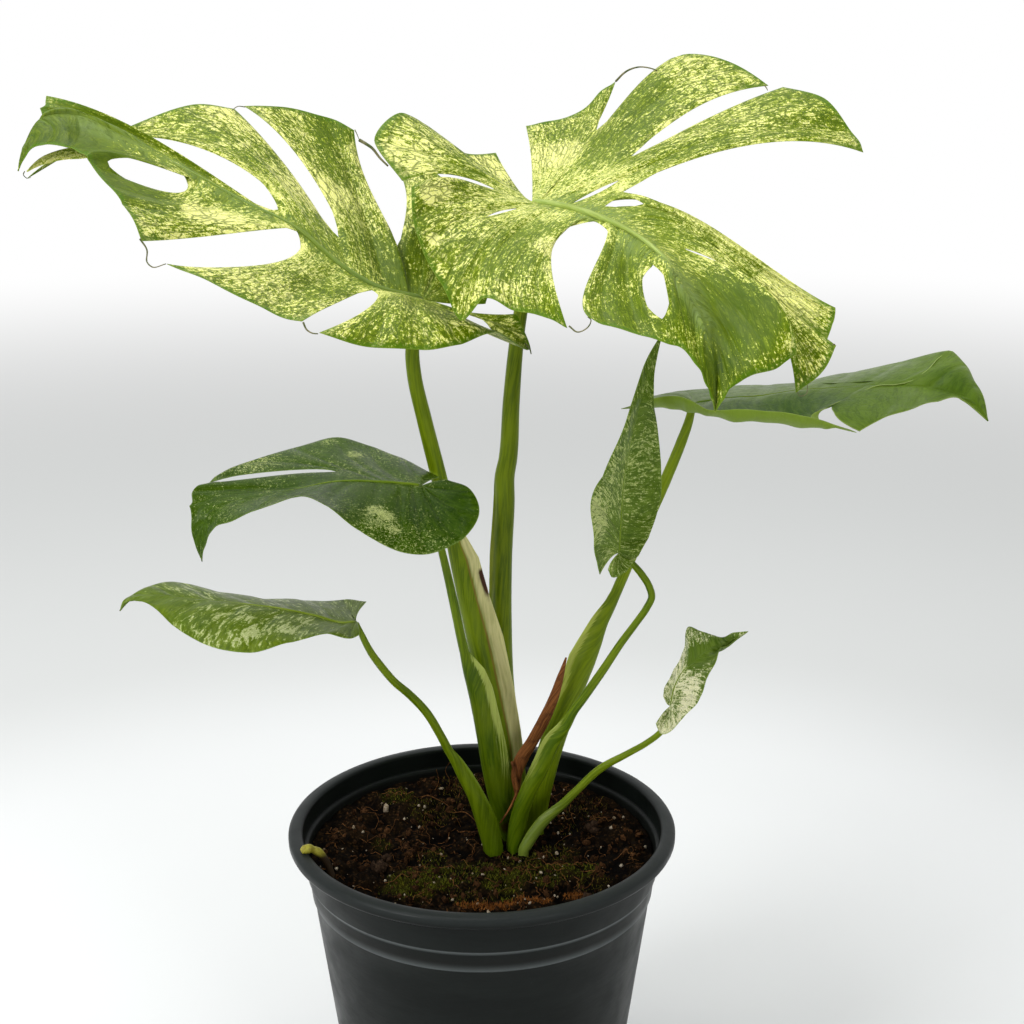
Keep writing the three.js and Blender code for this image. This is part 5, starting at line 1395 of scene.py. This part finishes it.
# Brown dry marks on the stalks: x, y, z, radius and strength.
BROWN = {
    "a": [
        (-0.2, 27, 247, 2.4, 2.4), (0.4, 27, 244.7, 2.6, 2.6), (1, 27, 242.4, 2.6, 2.6),
        (1.6, 27, 240.1, 2.6, 2.6), (2.2, 27, 237.8, 2.5, 2.5), (2.8, 27, 235.5, 2.3, 2.2),
    ],
    "d": [(10, 16, 134, 4, 0.8)],
}

for key, data in STALKS.items():
    curl, pale = SHEATHS[key]
    green, deep = STALK_GREEN[key]
    start, ragged, line = EDGES[key]
    sections = stalk_sections(data["rows"], data["foot"])
    points, faces, flat, wing, run = stalk_shape(sections, 36, curl, 0.75, start)
    foot_green = (112, 130, 60) if key == "g" else None
    skin = stalk_material(f"petiole_{key}_skin", green, deep, pale, ragged, line, foot_green)
    stalk = make_mesh(f"petiole_{key}", points, faces, [skin])
    give_uv(stalk, flat)
    # The pale edge fades down the sheath, but for the cream one.
    top = run[wing > 0.05].min() if key != "a" and (wing > 0.05).any() else 1.0
    left = 1 - top
    wing = wing * (1 - 0.85 * smoothstep(top + 0.2 * left, top + 0.8 * left + 0.001, run))
    points = np.array(points)
    foot = 0.55 * (1 - smoothstep(128, 165, points[:, 2]))
    give(stalk, wing=wing, foot=foot, brown=patch_values(points, BROWN.get(key, [])))
    settle(stalk, "leaf_stalk", f"stalk_{key}")


# Thin torn threads that hang between the lobes and at the tips.
THREADS = {
    "a": [
        (0.28, [(-55.6, 96, 428.2), (-54.6, 93.8, 426.6), (-53.6, 91.7, 424.6)]),
        (0.75, [
            (-53.4, 91.7, 424.2), (-50.4, 89.8, 422.7), (-47.7, 87.8, 421.1), (-44.2, 85.9, 417),
            (-40.7, 84, 413.8),
        ]),
        (0.25, [(-100.6, 80, 438.8), (-103.2, 77.4, 439.2), (-105.4, 74.9, 437.8)]),
        (0.4, [(-61.6, -62, 371.8), (-60.3, -62, 369), (-58.6, -62, 367.9), (-56.4, -62, 367.6)]),
        (0.35, [
            (-120.5, -50, 399.8), (-117.9, -51.5, 396), (-117.8, -53, 391.9),
            (-115.8, -54.5, 390.4), (-110.5, -56, 391.7),
        ]),
        (0.4, [(17.9, -8, 353.8), (19.8, -6, 351.2), (20.3, -4, 348.9)]),
        (0.22, [(-175.6, 6, 418.6), (-176.2, 6, 417.4), (-175, 6, 416), (-173.4, 6, 416.2)]),
    ],
    "b": [
        (0.5, [
            (59.1, 120, 447.8), (62.5, 116.8, 451.5), (65.3, 113.6, 453.3), (69, 110.4, 454.3),
            (73.2, 107.2, 453.9), (76, 104, 453),
        ]),
        (0.3, [(121.2, 92, 447.4), (122, 91, 446.4), (122.6, 90, 445.2)]),
        (0.32, [
            (33.5, -51.9, 368.6), (36.3, -53.9, 366.8), (40.2, -56, 369), (41.1, -58, 371.9),
            (39.9, -60, 373.3),
        ]),
        (0.22, [
            (116.5, -60.8, 351.3), (115.7, -60.4, 347.5), (117, -60, 344.5), (119.2, -59.6, 345.1),
            (119.5, -59.2, 348.7), (118.3, -58.8, 351.6),
        ]),
        (0.3, [(129.6, -50, 361.3), (130.6, -50, 361.6)]),
    ],
}
# A pale fold line on leaf C's face, and a dark strip of painted shade where a closed slit lies.
C_LINES = [
    ("fold_c", 0.28, (150, 170, 92), [
        (139.5, 1, 327), (149.8, 13, 327.6), (157.8, 20, 329.3), (164.1, 23.4, 330.4),
        (170, 23.4, 330.6), (177, 25.5, 331.6), (184.7, 32, 334.5), (194.1, 45, 338.3),
        (198.5, 49, 339),
    ]),
    ("slit_shade_c", 0.22, (44, 62, 12), [
        (138.4, 44.6, 326.6), (146.1, 37, 328.2), (155.9, 32, 329.8), (169.3, 29.5, 331.3),
    ]),
]


def thread_material():
    m = Skin("thread_skin")
    colour = m.patches((70, 84, 30), (128, 122, 88), (m.place(), 0.25), 0.35, 0.65)
    return m.finish(colour=colour, rough=0.6, specular=0.25)


thread_skin = thread_material()
for key, threads in THREADS.items():
    heap = Heap()
    for radius, points in threads:
        line = spline(points, 6 * len(points))
        heap.add(*tube(line, radius * np.linspace(1, 0.55, len(line)), 6))
    settle(heap.object(f"threads_{key}", [thread_skin]), SLOTS[key])
for name, radius, tint, points in C_LINES:
    m = Skin(f"{name}_skin")
    colour = m.patches(tint, (96, 120, 40), (m.place(), 0.4), 0.35, 0.65, 0.3)
    skin = m.finish(colour=colour, rough=0.5, specular=0.15)
    line = spline(points, 8 * len(points))
    ends = np.sin(np.linspace(0.15, math.pi - 0.15, len(line))) ** 0.4
    strip = make_mesh(name, *tube(line, radius * ends, 6), [skin])
    settle(strip, SLOTS["c"])
# The end of leaf A's last far lobe, which curls round behind the blade's tip.
TIP_ROWS, TIP_SIDES = 26, 14
curl = spline([
    (-150, 11.5, 425.6), (-154.2, 11, 425.1), (-158.7, 10.5, 425), (-162.5, 10, 424.4),
    (-166.3, 9.5, 423.4), (-169.8, 9, 422), (-172.4, 8, 420.4), (-174.9, 6.5, 418.4),
], TIP_ROWS)
widths = np.interp(np.linspace(0, 1, TIP_ROWS), [0, 0.3, 0.7, 1], [2.4, 2.7, 1.9, 0.3])
# Its greens are painted light: far paler than the blade's, standing in for light shining through
# the thin lobe from behind.
backlit_tip_skin = blade_material("lobe_tip_backlit_skin", dict(
    MINT, density=0.03, net=0.1, strands=0.3, lines=0.3, band=0.0, drift=0.0, margin=0.0,
    green=(178, 194, 92), green_two=(162, 182, 80), light=(190, 202, 110),
))
ribbon = tube(curl, widths, TIP_SIDES, 0.16, (0.1, -0.8, 0.6))
tip = make_mesh("lobe_tip_a", *ribbon, [backlit_tip_skin])
give(tip, away=0.7, reach=30, rib=6, slit=9, rim=6)
turns = np.arange(TIP_SIDES) * 2 * math.pi / TIP_SIDES
give_uv(tip, rod_uv(2.4 * np.cos(turns), np.arange(TIP_ROWS)))
settle(tip, SLOTS["a"])


POT_SIDES = 160
# Radius and height, down the outside from the rim, under the foot and up the inside.
POT_OUTSIDE = [
    (79, 145), (81.1, 144.65), (82.1, 144.0), (82.5, 143.3), (82.5, 141.2), (82.1, 140.3),
    (81.1, 139.6), (79.2, 139.4), (77.3, 139.3), (76.8, 138.6), (76.4, 136), (75.7, 131),
    (75.05, 126.2), (74.9, 125.7), (74.3, 125.2), (74.1, 124.0), (73.6, 120.2), (73.2, 116.7),
    (72.6, 116.2), (72.3, 115.6),
]
POT_WALL = [(wall_radius(z), z) for z in (108, 96, 84, 72, 60, 48, 36, 24, 14, 6, 2.5)]
POT_FOOT = [(57.0, 1.0), (56.6, 0.35), (55.8, 0), (54.5, 0), (53.6, 0.6), (52.6, 0.9), (20, 0.9)]
POT_INSIDE = [
    (20, 3), (40, 3), (54.6, 3), (56.6, 4), (58.7, 24), (61.4, 44), (64.0, 64),
    (66.7, 84), (69.4, 104), (71, 116), (72.8, 125.2), (74.0, 134.6), (74.3, 135.8),
    (74.9, 136.25), (75.9, 136.4), (76.1, 137.0), (76.2, 143.3), (76.5, 144.2), (77.5, 145),
]
# The heights between which the two ring lines get a pale painted highlight.
LINE_EDGES = [(124.9, 126.0), (115.9, 117.0)]
HOLE_COUNT, HOLES_AT, HOLE_RADIUS = 8, 43, 5


def boolean_cut(piece, cutter):
    """The piece with the cutter's shape taken out of it."""
    step = piece.modifiers.new("cut", "BOOLEAN")
    step.operation = "DIFFERENCE"
    step.solver = "EXACT"
    step.object = cutter
    bpy.context.view_layer.update()
    seen = piece.evaluated_get(bpy.context.evaluated_depsgraph_get())
    mesh = bpy.data.meshes.new_from_object(seen)
    piece.modifiers.clear()
    piece.data = mesh
    bpy.data.objects.remove(cutter)


def make_pot():
    profile = POT_INSIDE + POT_OUTSIDE + POT_WALL + POT_FOOT
    points = [point for radius, z in profile for point in ring(radius, z, POT_SIDES)]
    faces = rod_faces(len(profile), POT_SIDES, (1, 2, 3, 0))
    pot = make_mesh("nursery_pot", points, faces, [pot_material()])
    holes = Heap()
    for middle in ring(HOLES_AT, 0, HOLE_COUNT, 0.5):
        ends = [np.array(middle) + (0, 0, z) for z in (-2, 6)]
        holes.add(*tube(ends, [HOLE_RADIUS] * 2, 32, 1.0, (1, 0, 0)))
    cutter = make_mesh("drain_cutter", holes.points, holes.faces, [])
    boolean_cut(pot, cutter)
    mesh = pot.data
    mesh.polygons.foreach_set("use_smooth", np.full(len(mesh.polygons), True))
    where = np.empty(len(mesh.vertices) * 3)
    mesh.vertices.foreach_get("co", where)
    where = where.reshape(-1, 3) / MM
    radius = np.hypot(where[:, 0], where[:, 1])
    height = where[:, 2]
    worn = np.zeros(len(where))
    # Painted highlight along the two ring lines and a fainter painted reflection on the rim's top.
    for low, high in LINE_EDGES:
        worn[(height > low) & (height < high) & (radius > 72.2)] = 0.75
    worn[(height > 143.2) & (radius > 77.2)] = 0.14
    inner = (radius < wall_radius(height) - 0.9) & (height > 2.5) | (radius < 74) & (height > 120)
    give(pot, worn=worn, inner=inner)
    # Hard corners of the foot, the steps and the rim groove stay crisp.
    bm = bmesh.new()
    bm.from_mesh(mesh)
    for edge in bm.edges:
        if len(edge.link_faces) == 2 and edge.calc_face_angle(0) > math.radians(50):
            edge.smooth = False
    bm.to_mesh(mesh)
    bm.free()
    return settle(pot, "pot_plastic", "pot")


make_pot()


# Low mounds of the soil: x, y, radius and height.
MOUNDS = [
    (-24, -22, 20, 3.0), (0, -18, 18, 2.4), (28, -16, 20, 2.6), (-22, 2, 12, 1.6),
    (-38, 48, 18, 1.6), (-16, 50, 22, 2.2), (10, 54, 20, 1.8), (38, 40, 20, 1.4),
    (46, 14, 18, 1.2), (50, -22, 12, 1.0), (-42, 22, 12, -3.0), (-18, 18, 12, -2.6),
    (-52, 6, 10, -2.6), (-40, -27, 9, -2.2), (4, 6, 8, -1.8), (-52, 38, 10, -2.0),
    (40, -36, 12, -1.2),
]
# Moss: x, y, radius, greenness 0 to 1 and how thick it grows.
MOSS = [
    (-28, -24, 15, 0.9, 1.0), (-17, -17, 13, 1.0, 1.0), (-22, 0, 8, 0.55, 0.8),
    (-4, -14, 12, 0.8, 0.9), (10, -22, 14, 0.85, 1.0), (27, -17, 13, 0.8, 0.9),
    (42, -11, 10, 1.0, 0.9), (33, 3, 11, 0.4, 0.7), (17, -4, 11, 0.5, 0.8),
    (-39, 49, 9, 0.7, 0.9), (-44, 10, 5, 0.6, 0.6), (-24, 40, 12, 0.2, 0.7),
    (-6, -34, 10, 0.3, 0.6), (48, -25, 9, 0.3, 0.5), (-10, 57, 16, 0.05, 0.6),
    (44, 35, 16, 0.05, 0.4),
]
RUST_MOSS = [(-2, -40, 6.0), (19, -37, 7), (8, -41, 4), (40, -33, 4.5)]


def bump_noise(x, y, size, seed):
    return noise.noise(Vector((x / size + seed, y / size - seed, seed * 1.7)))


def soil_relief(x, y):
    """The clods and crumbs of the soil's face."""
    clods = 2.0 * bump_noise(x, y, 10, 3.1) + 1.7 * bump_noise(x, y, 4.2, 7.7)
    return clods + 0.9 * bump_noise(x, y, 1.8, 1.3)


# How high the soil is banked up against the back wall, and its wall's slope there.
SOIL_BANK = 7.0
WALL_SLOPE = 0.128


def soil_height(x, y):
    """Height of the soil's face in millimetres."""
    z = SOIL_Z
    for mx, my, reach, height in MOUNDS:
        far = math.hypot(x - mx, y - my) / reach
        if far < 1:
            z += height * (1 - far * far) ** 2
    # It is banked up against the wall, least at the front.
    far = math.hypot(x, y)
    edge = far / SOIL_RADIUS
    back = 0.3 + 0.7 * smoothstep(-0.8, -0.1, y / max(far, 1.0))
    z += SOIL_BANK * smoothstep(0.5, 1.0, edge) * back
    rim = smoothstep(0.9, 1.0, edge)
    return z + soil_relief(x, y) * (1 - 0.5 * rim) - 0.8 * rim


def clod(rng, middle, size, squash=0.6, rough=0.35):
    """A small uneven lump as points and faces."""
    bm = bmesh.new()
    bmesh.ops.create_icosphere(bm, subdivisions=1, radius=1.0)
    turn = Euler((rng.uniform(0, 6.3), rng.uniform(0, 6.3), rng.uniform(0, 6.3))).to_matrix()
    stretch = (rng.uniform(0.7, 1.5), rng.uniform(0.6, 1.1), squash * rng.uniform(0.7, 1.2))
    points = []
    for vertex in bm.verts:
        grow = 1 + rough * rng.uniform(-1, 1)
        local = Vector([c * k * grow for c, k in zip(vertex.co, stretch)])
        points.append(np.array(turn @ local) * size + middle)
    faces = [[v.index for v in face.verts] for face in bm.faces]
    bm.free()
    return points, faces


def make_soil():
    rings, sides = 92, 280
    points = [(0, 0, soil_height(0, 0))]
    for i in range(1, rings + 1):
        share = i / rings
        for x, y, _ in ring(SOIL_RADIUS * share ** 0.85, 0, sides, 0.5 * (i % 2)):
            z = soil_height(x, y)
            # The wall leans out, so the soil grows wider where it is banked up.
            wide = 1 + max(0.0, WALL_SLOPE * (z - SOIL_Z)) / SOIL_RADIUS * share ** 8
            points.append((x * wide, y * wide, z))
    # A skirt and a floor close it, so that it is solid earth from every side.
    skirt = (114, 40, 3.4)
    for height in skirt:
        points += ring(wall_radius(height) - 2.0, height, sides, 0.5 * (rings % 2))
    faces = [(0, 1 + k, 1 + (k + 1) % sides) for k in range(sides)]
    faces += bands(rings + len(skirt), sides, (0, 3, 2, 1), 1)
    faces.append(tuple(range(len(points) - sides, len(points)))[::-1])
    peat = earth_material("peat", (5, 3, 2), (28, 19, 9), (70, 50, 28))
    soil = make_mesh("peat_soil", points, faces, [peat])
    places = [(x, y) for x, y, _ in points]
    tone = [0.35 * max(0.0, bump_noise(x, y, 16, 5.5)) for x, y in places]
    rough = np.array([soil_relief(x, y) for x, y in places])
    # The low value is painted shade: the soil is darkened in the hollows of its relief and in the
    # dips.
    dips = np.array([max(0.0, SOIL_Z - soil_height(x, y)) for x, y in places])
    low = np.clip(0.9 * (1 - smoothstep(-1.1, 0.5, rough)) + dips * 0.25, 0, 0.92)
    mossy = [0.9 * math.prod(moss_amount(x, y)) for x, y in places]
    give(soil, tone=tone, low=low, mossy=mossy)
    settle(soil, "potting_soil", "soil")


def near_stalk(x, y):
    """True where a stalk's foot stands."""
    feet = [data["foot"] for data in STALKS.values()]
    return any(math.hypot(x - fx, y - fy) < reach + 1 for fx, fy, reach in feet)


def free_place(rng, reach=0.97):
    while True:
        x, y = rng.uniform(-1, 1) * SOIL_RADIUS, rng.uniform(-1, 1) * SOIL_RADIUS
        if math.hypot(x, y) < SOIL_RADIUS * reach and not near_stalk(x, y):
            return x, y


def moss_amount(x, y):
    """How thick and how green the moss is at a place."""
    thick, green = 0.0, 0.0
    for mx, my, reach, colour, amount in MOSS:
        far = math.hypot(x - mx, y - my) / reach + 0.35 * bump_noise(x, y, 6, 9.1)
        here = amount * (1 - smoothstep(0.55, 1.0, far))
        if here > thick:
            thick, green = float(here), colour
    return thick, green


def at_height(x, y, lift):
    return np.array([x, y, soil_height(x, y) + lift])


def scatter_bark(rng):
    bark = Heap()
    for _ in range(900):
        x, y = free_place(rng)
        size = rng.choice([0.5, 0.7, 0.9, 1.2, 1.6]) * rng.uniform(0.7, 1.3)
        if soil_height(x, y) < SOIL_Z - 0.6 and rng.random() < 0.7:
            continue
        bark.add(*clod(rng, at_height(x, y, size * 0.25), size), 0, rng.random() ** 2)
    browns = earth_material("bark_crumbs", (16, 10, 6), (44, 28, 16), (100, 68, 42), 1.6)
    settle(bark.object("bark_crumbs", [browns], False), "potting_soil")


def pile_lumps(rng):
    lumps = Heap()
    for x, y, size in LUMPS:
        middle = at_height(x, y, size * 0.5)
        for _ in range(9):
            shift = np.array([rng.uniform(-1, 1), rng.uniform(-1, 1), rng.uniform(-0.4, 0.6)])
            part = clod(rng, middle + shift * size * 0.55, size * 0.55, 0.8, 0.25)
            lumps.add(*part, 0, 0.3 * rng.random())
    browns = earth_material("peat_lumps", (34, 24, 18), (66, 50, 38), (96, 76, 58), 1.2)
    settle(lumps.object("peat_lumps", [browns]), "potting_soil")


def scatter_grains(rng):
    grains = Heap()
    spots = list(LARGE_GRAINS)
    for _ in range(170):
        x, y = free_place(rng)
        spots.append((x, y, rng.choice([0.25, 0.3, 0.4, 0.5, 0.8]) * rng.uniform(0.8, 1.2)))
    for x, y, size in spots:
        grains.add(*clod(rng, at_height(x, y, size * 0.5), size, 0.9, 0.18), 0, rng.random())
    white = earth_material("white_grains", (120, 100, 76), (178, 162, 136), (216, 206, 186), 1.5)
    settle(grains.object("white_grains", [white]), "potting_soil")


def grow_moss(rng):
    moss = Heap()
    for _ in range(15000):
        x, y = free_place(rng, 0.985)
        thick, green = moss_amount(x, y)
        if rng.random() > thick:
            continue
        height = rng.uniform(0.7, 1.6)
        sprig(moss, rng, x, y, height, 0.26, 0, green * 0.75 + 0.25 * rng.random())
    for mx, my, reach in RUST_MOSS:
        for _ in range(260):
            turn, far = rng.uniform(0, 6.3), reach * rng.random() ** 0.6
            x, y = mx + far * math.cos(turn) * 1.5, my + far * math.sin(turn) * 0.6
            if math.hypot(x, y) < SOIL_RADIUS - 0.6:
                sprig(moss, rng, x, y, rng.uniform(0.7, 1.9), 0.3, 1, rng.random())
    green = moss_skin("moss_green", (96, 74, 22), (98, 104, 10), MOSS_MARKS, 0.8, 0.2)
    rust = moss_skin("moss_rust", (92, 52, 18), (150, 94, 38), RUST_MARKS, 0.85, 0.15)
    settle(moss.object("moss", [green, rust], False), "potting_soil")


def lay_fibres(rng):
    """Loose fibres on the soil, and thin rootlets by the back wall and the stalks."""
    fibres = Heap()
    for _ in range(230):
        x, y = free_place(rng, 0.94)
        turn, length = rng.uniform(0, 6.3), rng.uniform(3, 12)
        path = []
        for k in range(7):
            px = x + math.cos(turn) * length * k / 6
            py = y + math.sin(turn) * length * k / 6
            turn += rng.uniform(-0.35, 0.35)
            if math.hypot(px, py) > SOIL_RADIUS - 1:
                break
            arch = 1.2 * math.sin(k / 6 * 3.14) * rng.random()
            path.append((px, py, soil_height(px, py) + 0.3 + arch))
        if len(path) > 3:
            fibres.add(*tube(path, [rng.uniform(0.08, 0.2)] * len(path), 4), 0, rng.random())
    for path in ROOTLETS:
        fibres.add(*tube(spline(path, 14), np.linspace(0.24, 0.1, 14), 6), 0, 0.6)
    skin = earth_material("fibres", (40, 24, 12), (86, 56, 30), (150, 104, 62), 1.2, 0.6)
    settle(fibres.object("fibres", [skin]), "potting_soil")


def sprig(heap, rng, x, y, height, width, slot, tone):
    """One tiny leaning moss leaf."""
    z = soil_height(x, y) - 0.2
    turn = rng.uniform(0, 6.3)
    lean = rng.uniform(0.2, 0.9) * height
    top = np.array([x + lean * math.cos(turn), y + lean * math.sin(turn), z + height])
    points = [top]
    for k in range(3):
        around = turn + 2.1 * k
        points.append(np.array([x + width * math.cos(around), y + width * math.sin(around), z]))
    heap.add(points, [(0, 1, 2), (0, 2, 3), (0, 3, 1)], slot, tone)


# Where the moss colours break up: the colour, its noise, the range and the strength.
MOSS_MARKS = [
    ((60, 66, 6), (0.4, 3.0), 0.35, 0.65, 1.0), ((140, 138, 40), (2.0, 2.0), 0.6, 0.8, 0.5),
]
RUST_MARKS = [((84, 48, 20), (1.2, 3.0), 0.4, 0.7, 0.5)]


def moss_skin(name, brown, fresh, marks, rough, specular):
    m = Skin(name)
    place = m.place()
    colour = m.mix(m.value("tone"), brown, fresh)
    for tint, grain, low, high, amount in marks:
        colour = m.patches(colour, tint, (place, *grain), low, high, amount)
    return m.finish(colour=colour, rough=rough, specular=specular)


# Lumps of peat and the larger white grains: x, y and size.
LUMPS = [
    (-44.3, -10.7, 4.2), (-40.9, -4.2, 2.6), (43.9, -36.9, 3), (47.7, 18.8, 3.4), (20, 48, 3),
]
LARGE_GRAINS = [
    (-44.1, 36.7, 2.1), (-26.8, 41.5, 1), (-35.7, 32.9, 0.8), (-19.8, 54.9, 1),
    (-60.9, -19.6, 1),
]
ROOTLETS = [
    [(-17, 58, 131), (-16, 58.5, 136), (-18, 59, 141), (-15, 60, 146)],
    [(-12, 56, 131), (-13, 57, 137), (-10, 58, 142)],
    [(-30, 48, 131), (-27, 47, 134), (-20, 44, 133), (-12, 40, 129)],
    [(-24, 54, 131), (-21, 54, 138), (-22, 56, 143)],
    [(-2, 30, 128), (-8, 32, 133), (-14, 36, 131), (-18, 42, 129)],
]

make_soil()
# One row of random draws runs through all the litter, in this order.
litter_rng = random.Random(11)
for scatter in (scatter_bark, pile_lumps, scatter_grains, grow_moss, lay_fibres):
    scatter(litter_rng)


def winged_piece(name, data, material, slot, node):
    """A small piece with the build of a stalk: the husk or the root's tip."""
    sections = stalk_sections(data["rows"], data["foot"])
    points, faces, flat, _, _ = stalk_shape(sections, 24, 0.2, 0.5)
    piece = make_mesh(name, points, faces, [material])
    give_uv(piece, flat)
    # The root's end is fresh above this height and dark with soil below it.
    give(piece, covered=1 - smoothstep(141.5, 144.5, np.array(points)[:, 2]))
    settle(piece, slot, node)


def husk_skin():
    """Dry papery brown with long fibres and paler worn strips."""
    m = Skin("husk")
    fibres = m.noise(m.vein((3.0, 0.08, 1)), 1.0, 4.0, 0.7)
    colour = m.mix(m.ramp(fibres, 0.35, 0.65), (84, 44, 20), (158, 100, 52))
    colour = m.patches(colour, (44, 24, 14), (m.place(), 0.25, 3.0), 0.5, 0.75, 0.6)
    return m.finish(colour=colour, rough=0.6, normal=m.bump(fibres, 0.7, 0.5), specular=0.12)


def root_skin():
    m = Skin("aerial_root")
    place = m.place()
    colour = m.patches((150, 140, 40), (184, 178, 62), (place, 0.5, 3.0), 0.35, 0.65)
    colour = m.patches(colour, (96, 84, 30), (place, 1.6, 3.0), 0.62, 0.75, 0.7)
    colour = m.mix(m.value("covered"), colour, (52, 38, 22))
    normal = m.bump(m.noise(place, 1.5, 3.0), 0.4, 0.4)
    return m.finish(colour=colour, rough=0.5, normal=normal, specular=0.4)


husk = husk_skin()
winged_piece("dry_husk", DRY_SHEATH, husk, "dry_sheath", "dry_sheath")
line = spline(HUSK_EDGE, 30)
strip = make_mesh("husk_edge", *tube(line, np.linspace(0.9, 0.45, 30), 8, 0.6), [husk])
give_uv(strip, rod_uv(np.zeros(8), np.arange(30)))
settle(strip, "dry_sheath")
winged_piece("aerial_root_tip", ROOT_TIP, root_skin(), "aerial_root", "root_tip")


def floor_material():
    m = Skin("studio_floor")
    place = m.place()
    colour = m.patches((226, 228, 228), (228, 230, 230), (place, 0.004), 0.3, 0.7)
    # Far away the floor glows softly, so that it meets the white backdrop without a line.
    far = m.vector_math("LENGTH", {0: place})["Value"]
    colour = m.mix(m.ramp(far, 400, 620), colour, (212, 214, 213))
    glow = m.ramp(far, 950, 2700)
    m.put(m.shader.inputs["Emission Color"], (1, 1, 1, 1))
    m.put(m.shader.inputs["Emission Strength"], glow)
    colour = m.mix(glow, colour, (0, 0, 0))
    return m.finish(colour=colour, rough=0.7, specular=0.0)


def make_stage():
    sides, far, low = 96, 90000, -0.2
    points = [(0, 0, low)] + ring(far, low, sides)
    faces = [(0, 1 + k, 1 + (k + 1) % sides) for k in range(sides)]
    floor = make_mesh("floor", points, faces, [floor_material()])


def soft_light(name, place, target, size, power):
    lamp = bpy.data.lights.new(name, "AREA")
    lamp.shape = "RECTANGLE"
    lamp.size, lamp.size_y = size
    lamp.energy = power
    holder = bpy.data.objects.new(name, lamp)
    holder.location = place
    aim = Vector(target) - Vector(place)
    holder.rotation_euler = aim.to_track_quat("-Z", "Y").to_euler()
    bpy.context.scene.collection.objects.link(holder)


def make_lights():
    """A bright backdrop side and ceiling, a dimmer room in front, and soft lamps."""
    world = bpy.data.worlds.new("studio")
    bpy.context.scene.world = world
    world.use_nodes = True
    sky = world.node_tree.nodes["Background"]
    tree = Tree(world.node_tree)
    towards = tree.node("ShaderNodeTexCoord").outputs["Generated"]
    parts = tree.node("ShaderNodeSeparateXYZ", {0: towards}).outputs
    behind = tree.ramp(parts["Y"], -0.7, 0.5, 0.1, 0.72)
    above = tree.ramp(parts["Z"], 0.45, 1.0, 0.0, 0.35)
    light = tree.math("ADD", behind, above)
    # What the camera sees behind the floor is plain white.
    direct = tree.node("ShaderNodeLightPath").outputs["Is Camera Ray"]
    seen = tree.node("ShaderNodeMix", {"Factor": direct, "A": light, "B": 1.0})
    tree.put(sky.inputs["Strength"], seen.outputs["Result"])
    tree.put(sky.inputs["Color"], (1, 1, 1, 1))
    soft_light("ceiling_lamp", (-0.25, 0.25, 1.7), (0, 0, 0.3), (1.3, 1.0), 12.5)
    soft_light("left_lamp", (-1.2, -0.9, 1.2), (0, 0, 0.3), (0.7, 0.9), 17)
    soft_light("right_lamp", (0.9, -1.4, 0.9), (0, 0, 0.25), (0.6, 0.8), 7)


def make_camera():
    """The photograph's viewing angle: just above the leaves, looking down at the pot."""
    lens = bpy.data.cameras.new("camera")
    lens.lens = 60
    lens.sensor_width = 36
    lens.clip_end = 400
    camera = bpy.data.objects.new("camera", lens)
    camera.location = (0.0128, -0.6641, 0.4791)
    camera.rotation_euler = (math.radians(90 - 16.45), 0, 0)
    bpy.context.scene.collection.objects.link(camera)
    bpy.context.scene.camera = camera


# A bright plain studio picture keeps the leaf colours as they are.
bpy.context.scene.view_settings.view_transform = "Standard"

make_stage()
make_lights()
make_camera()

bpy.context.view_layer.update()
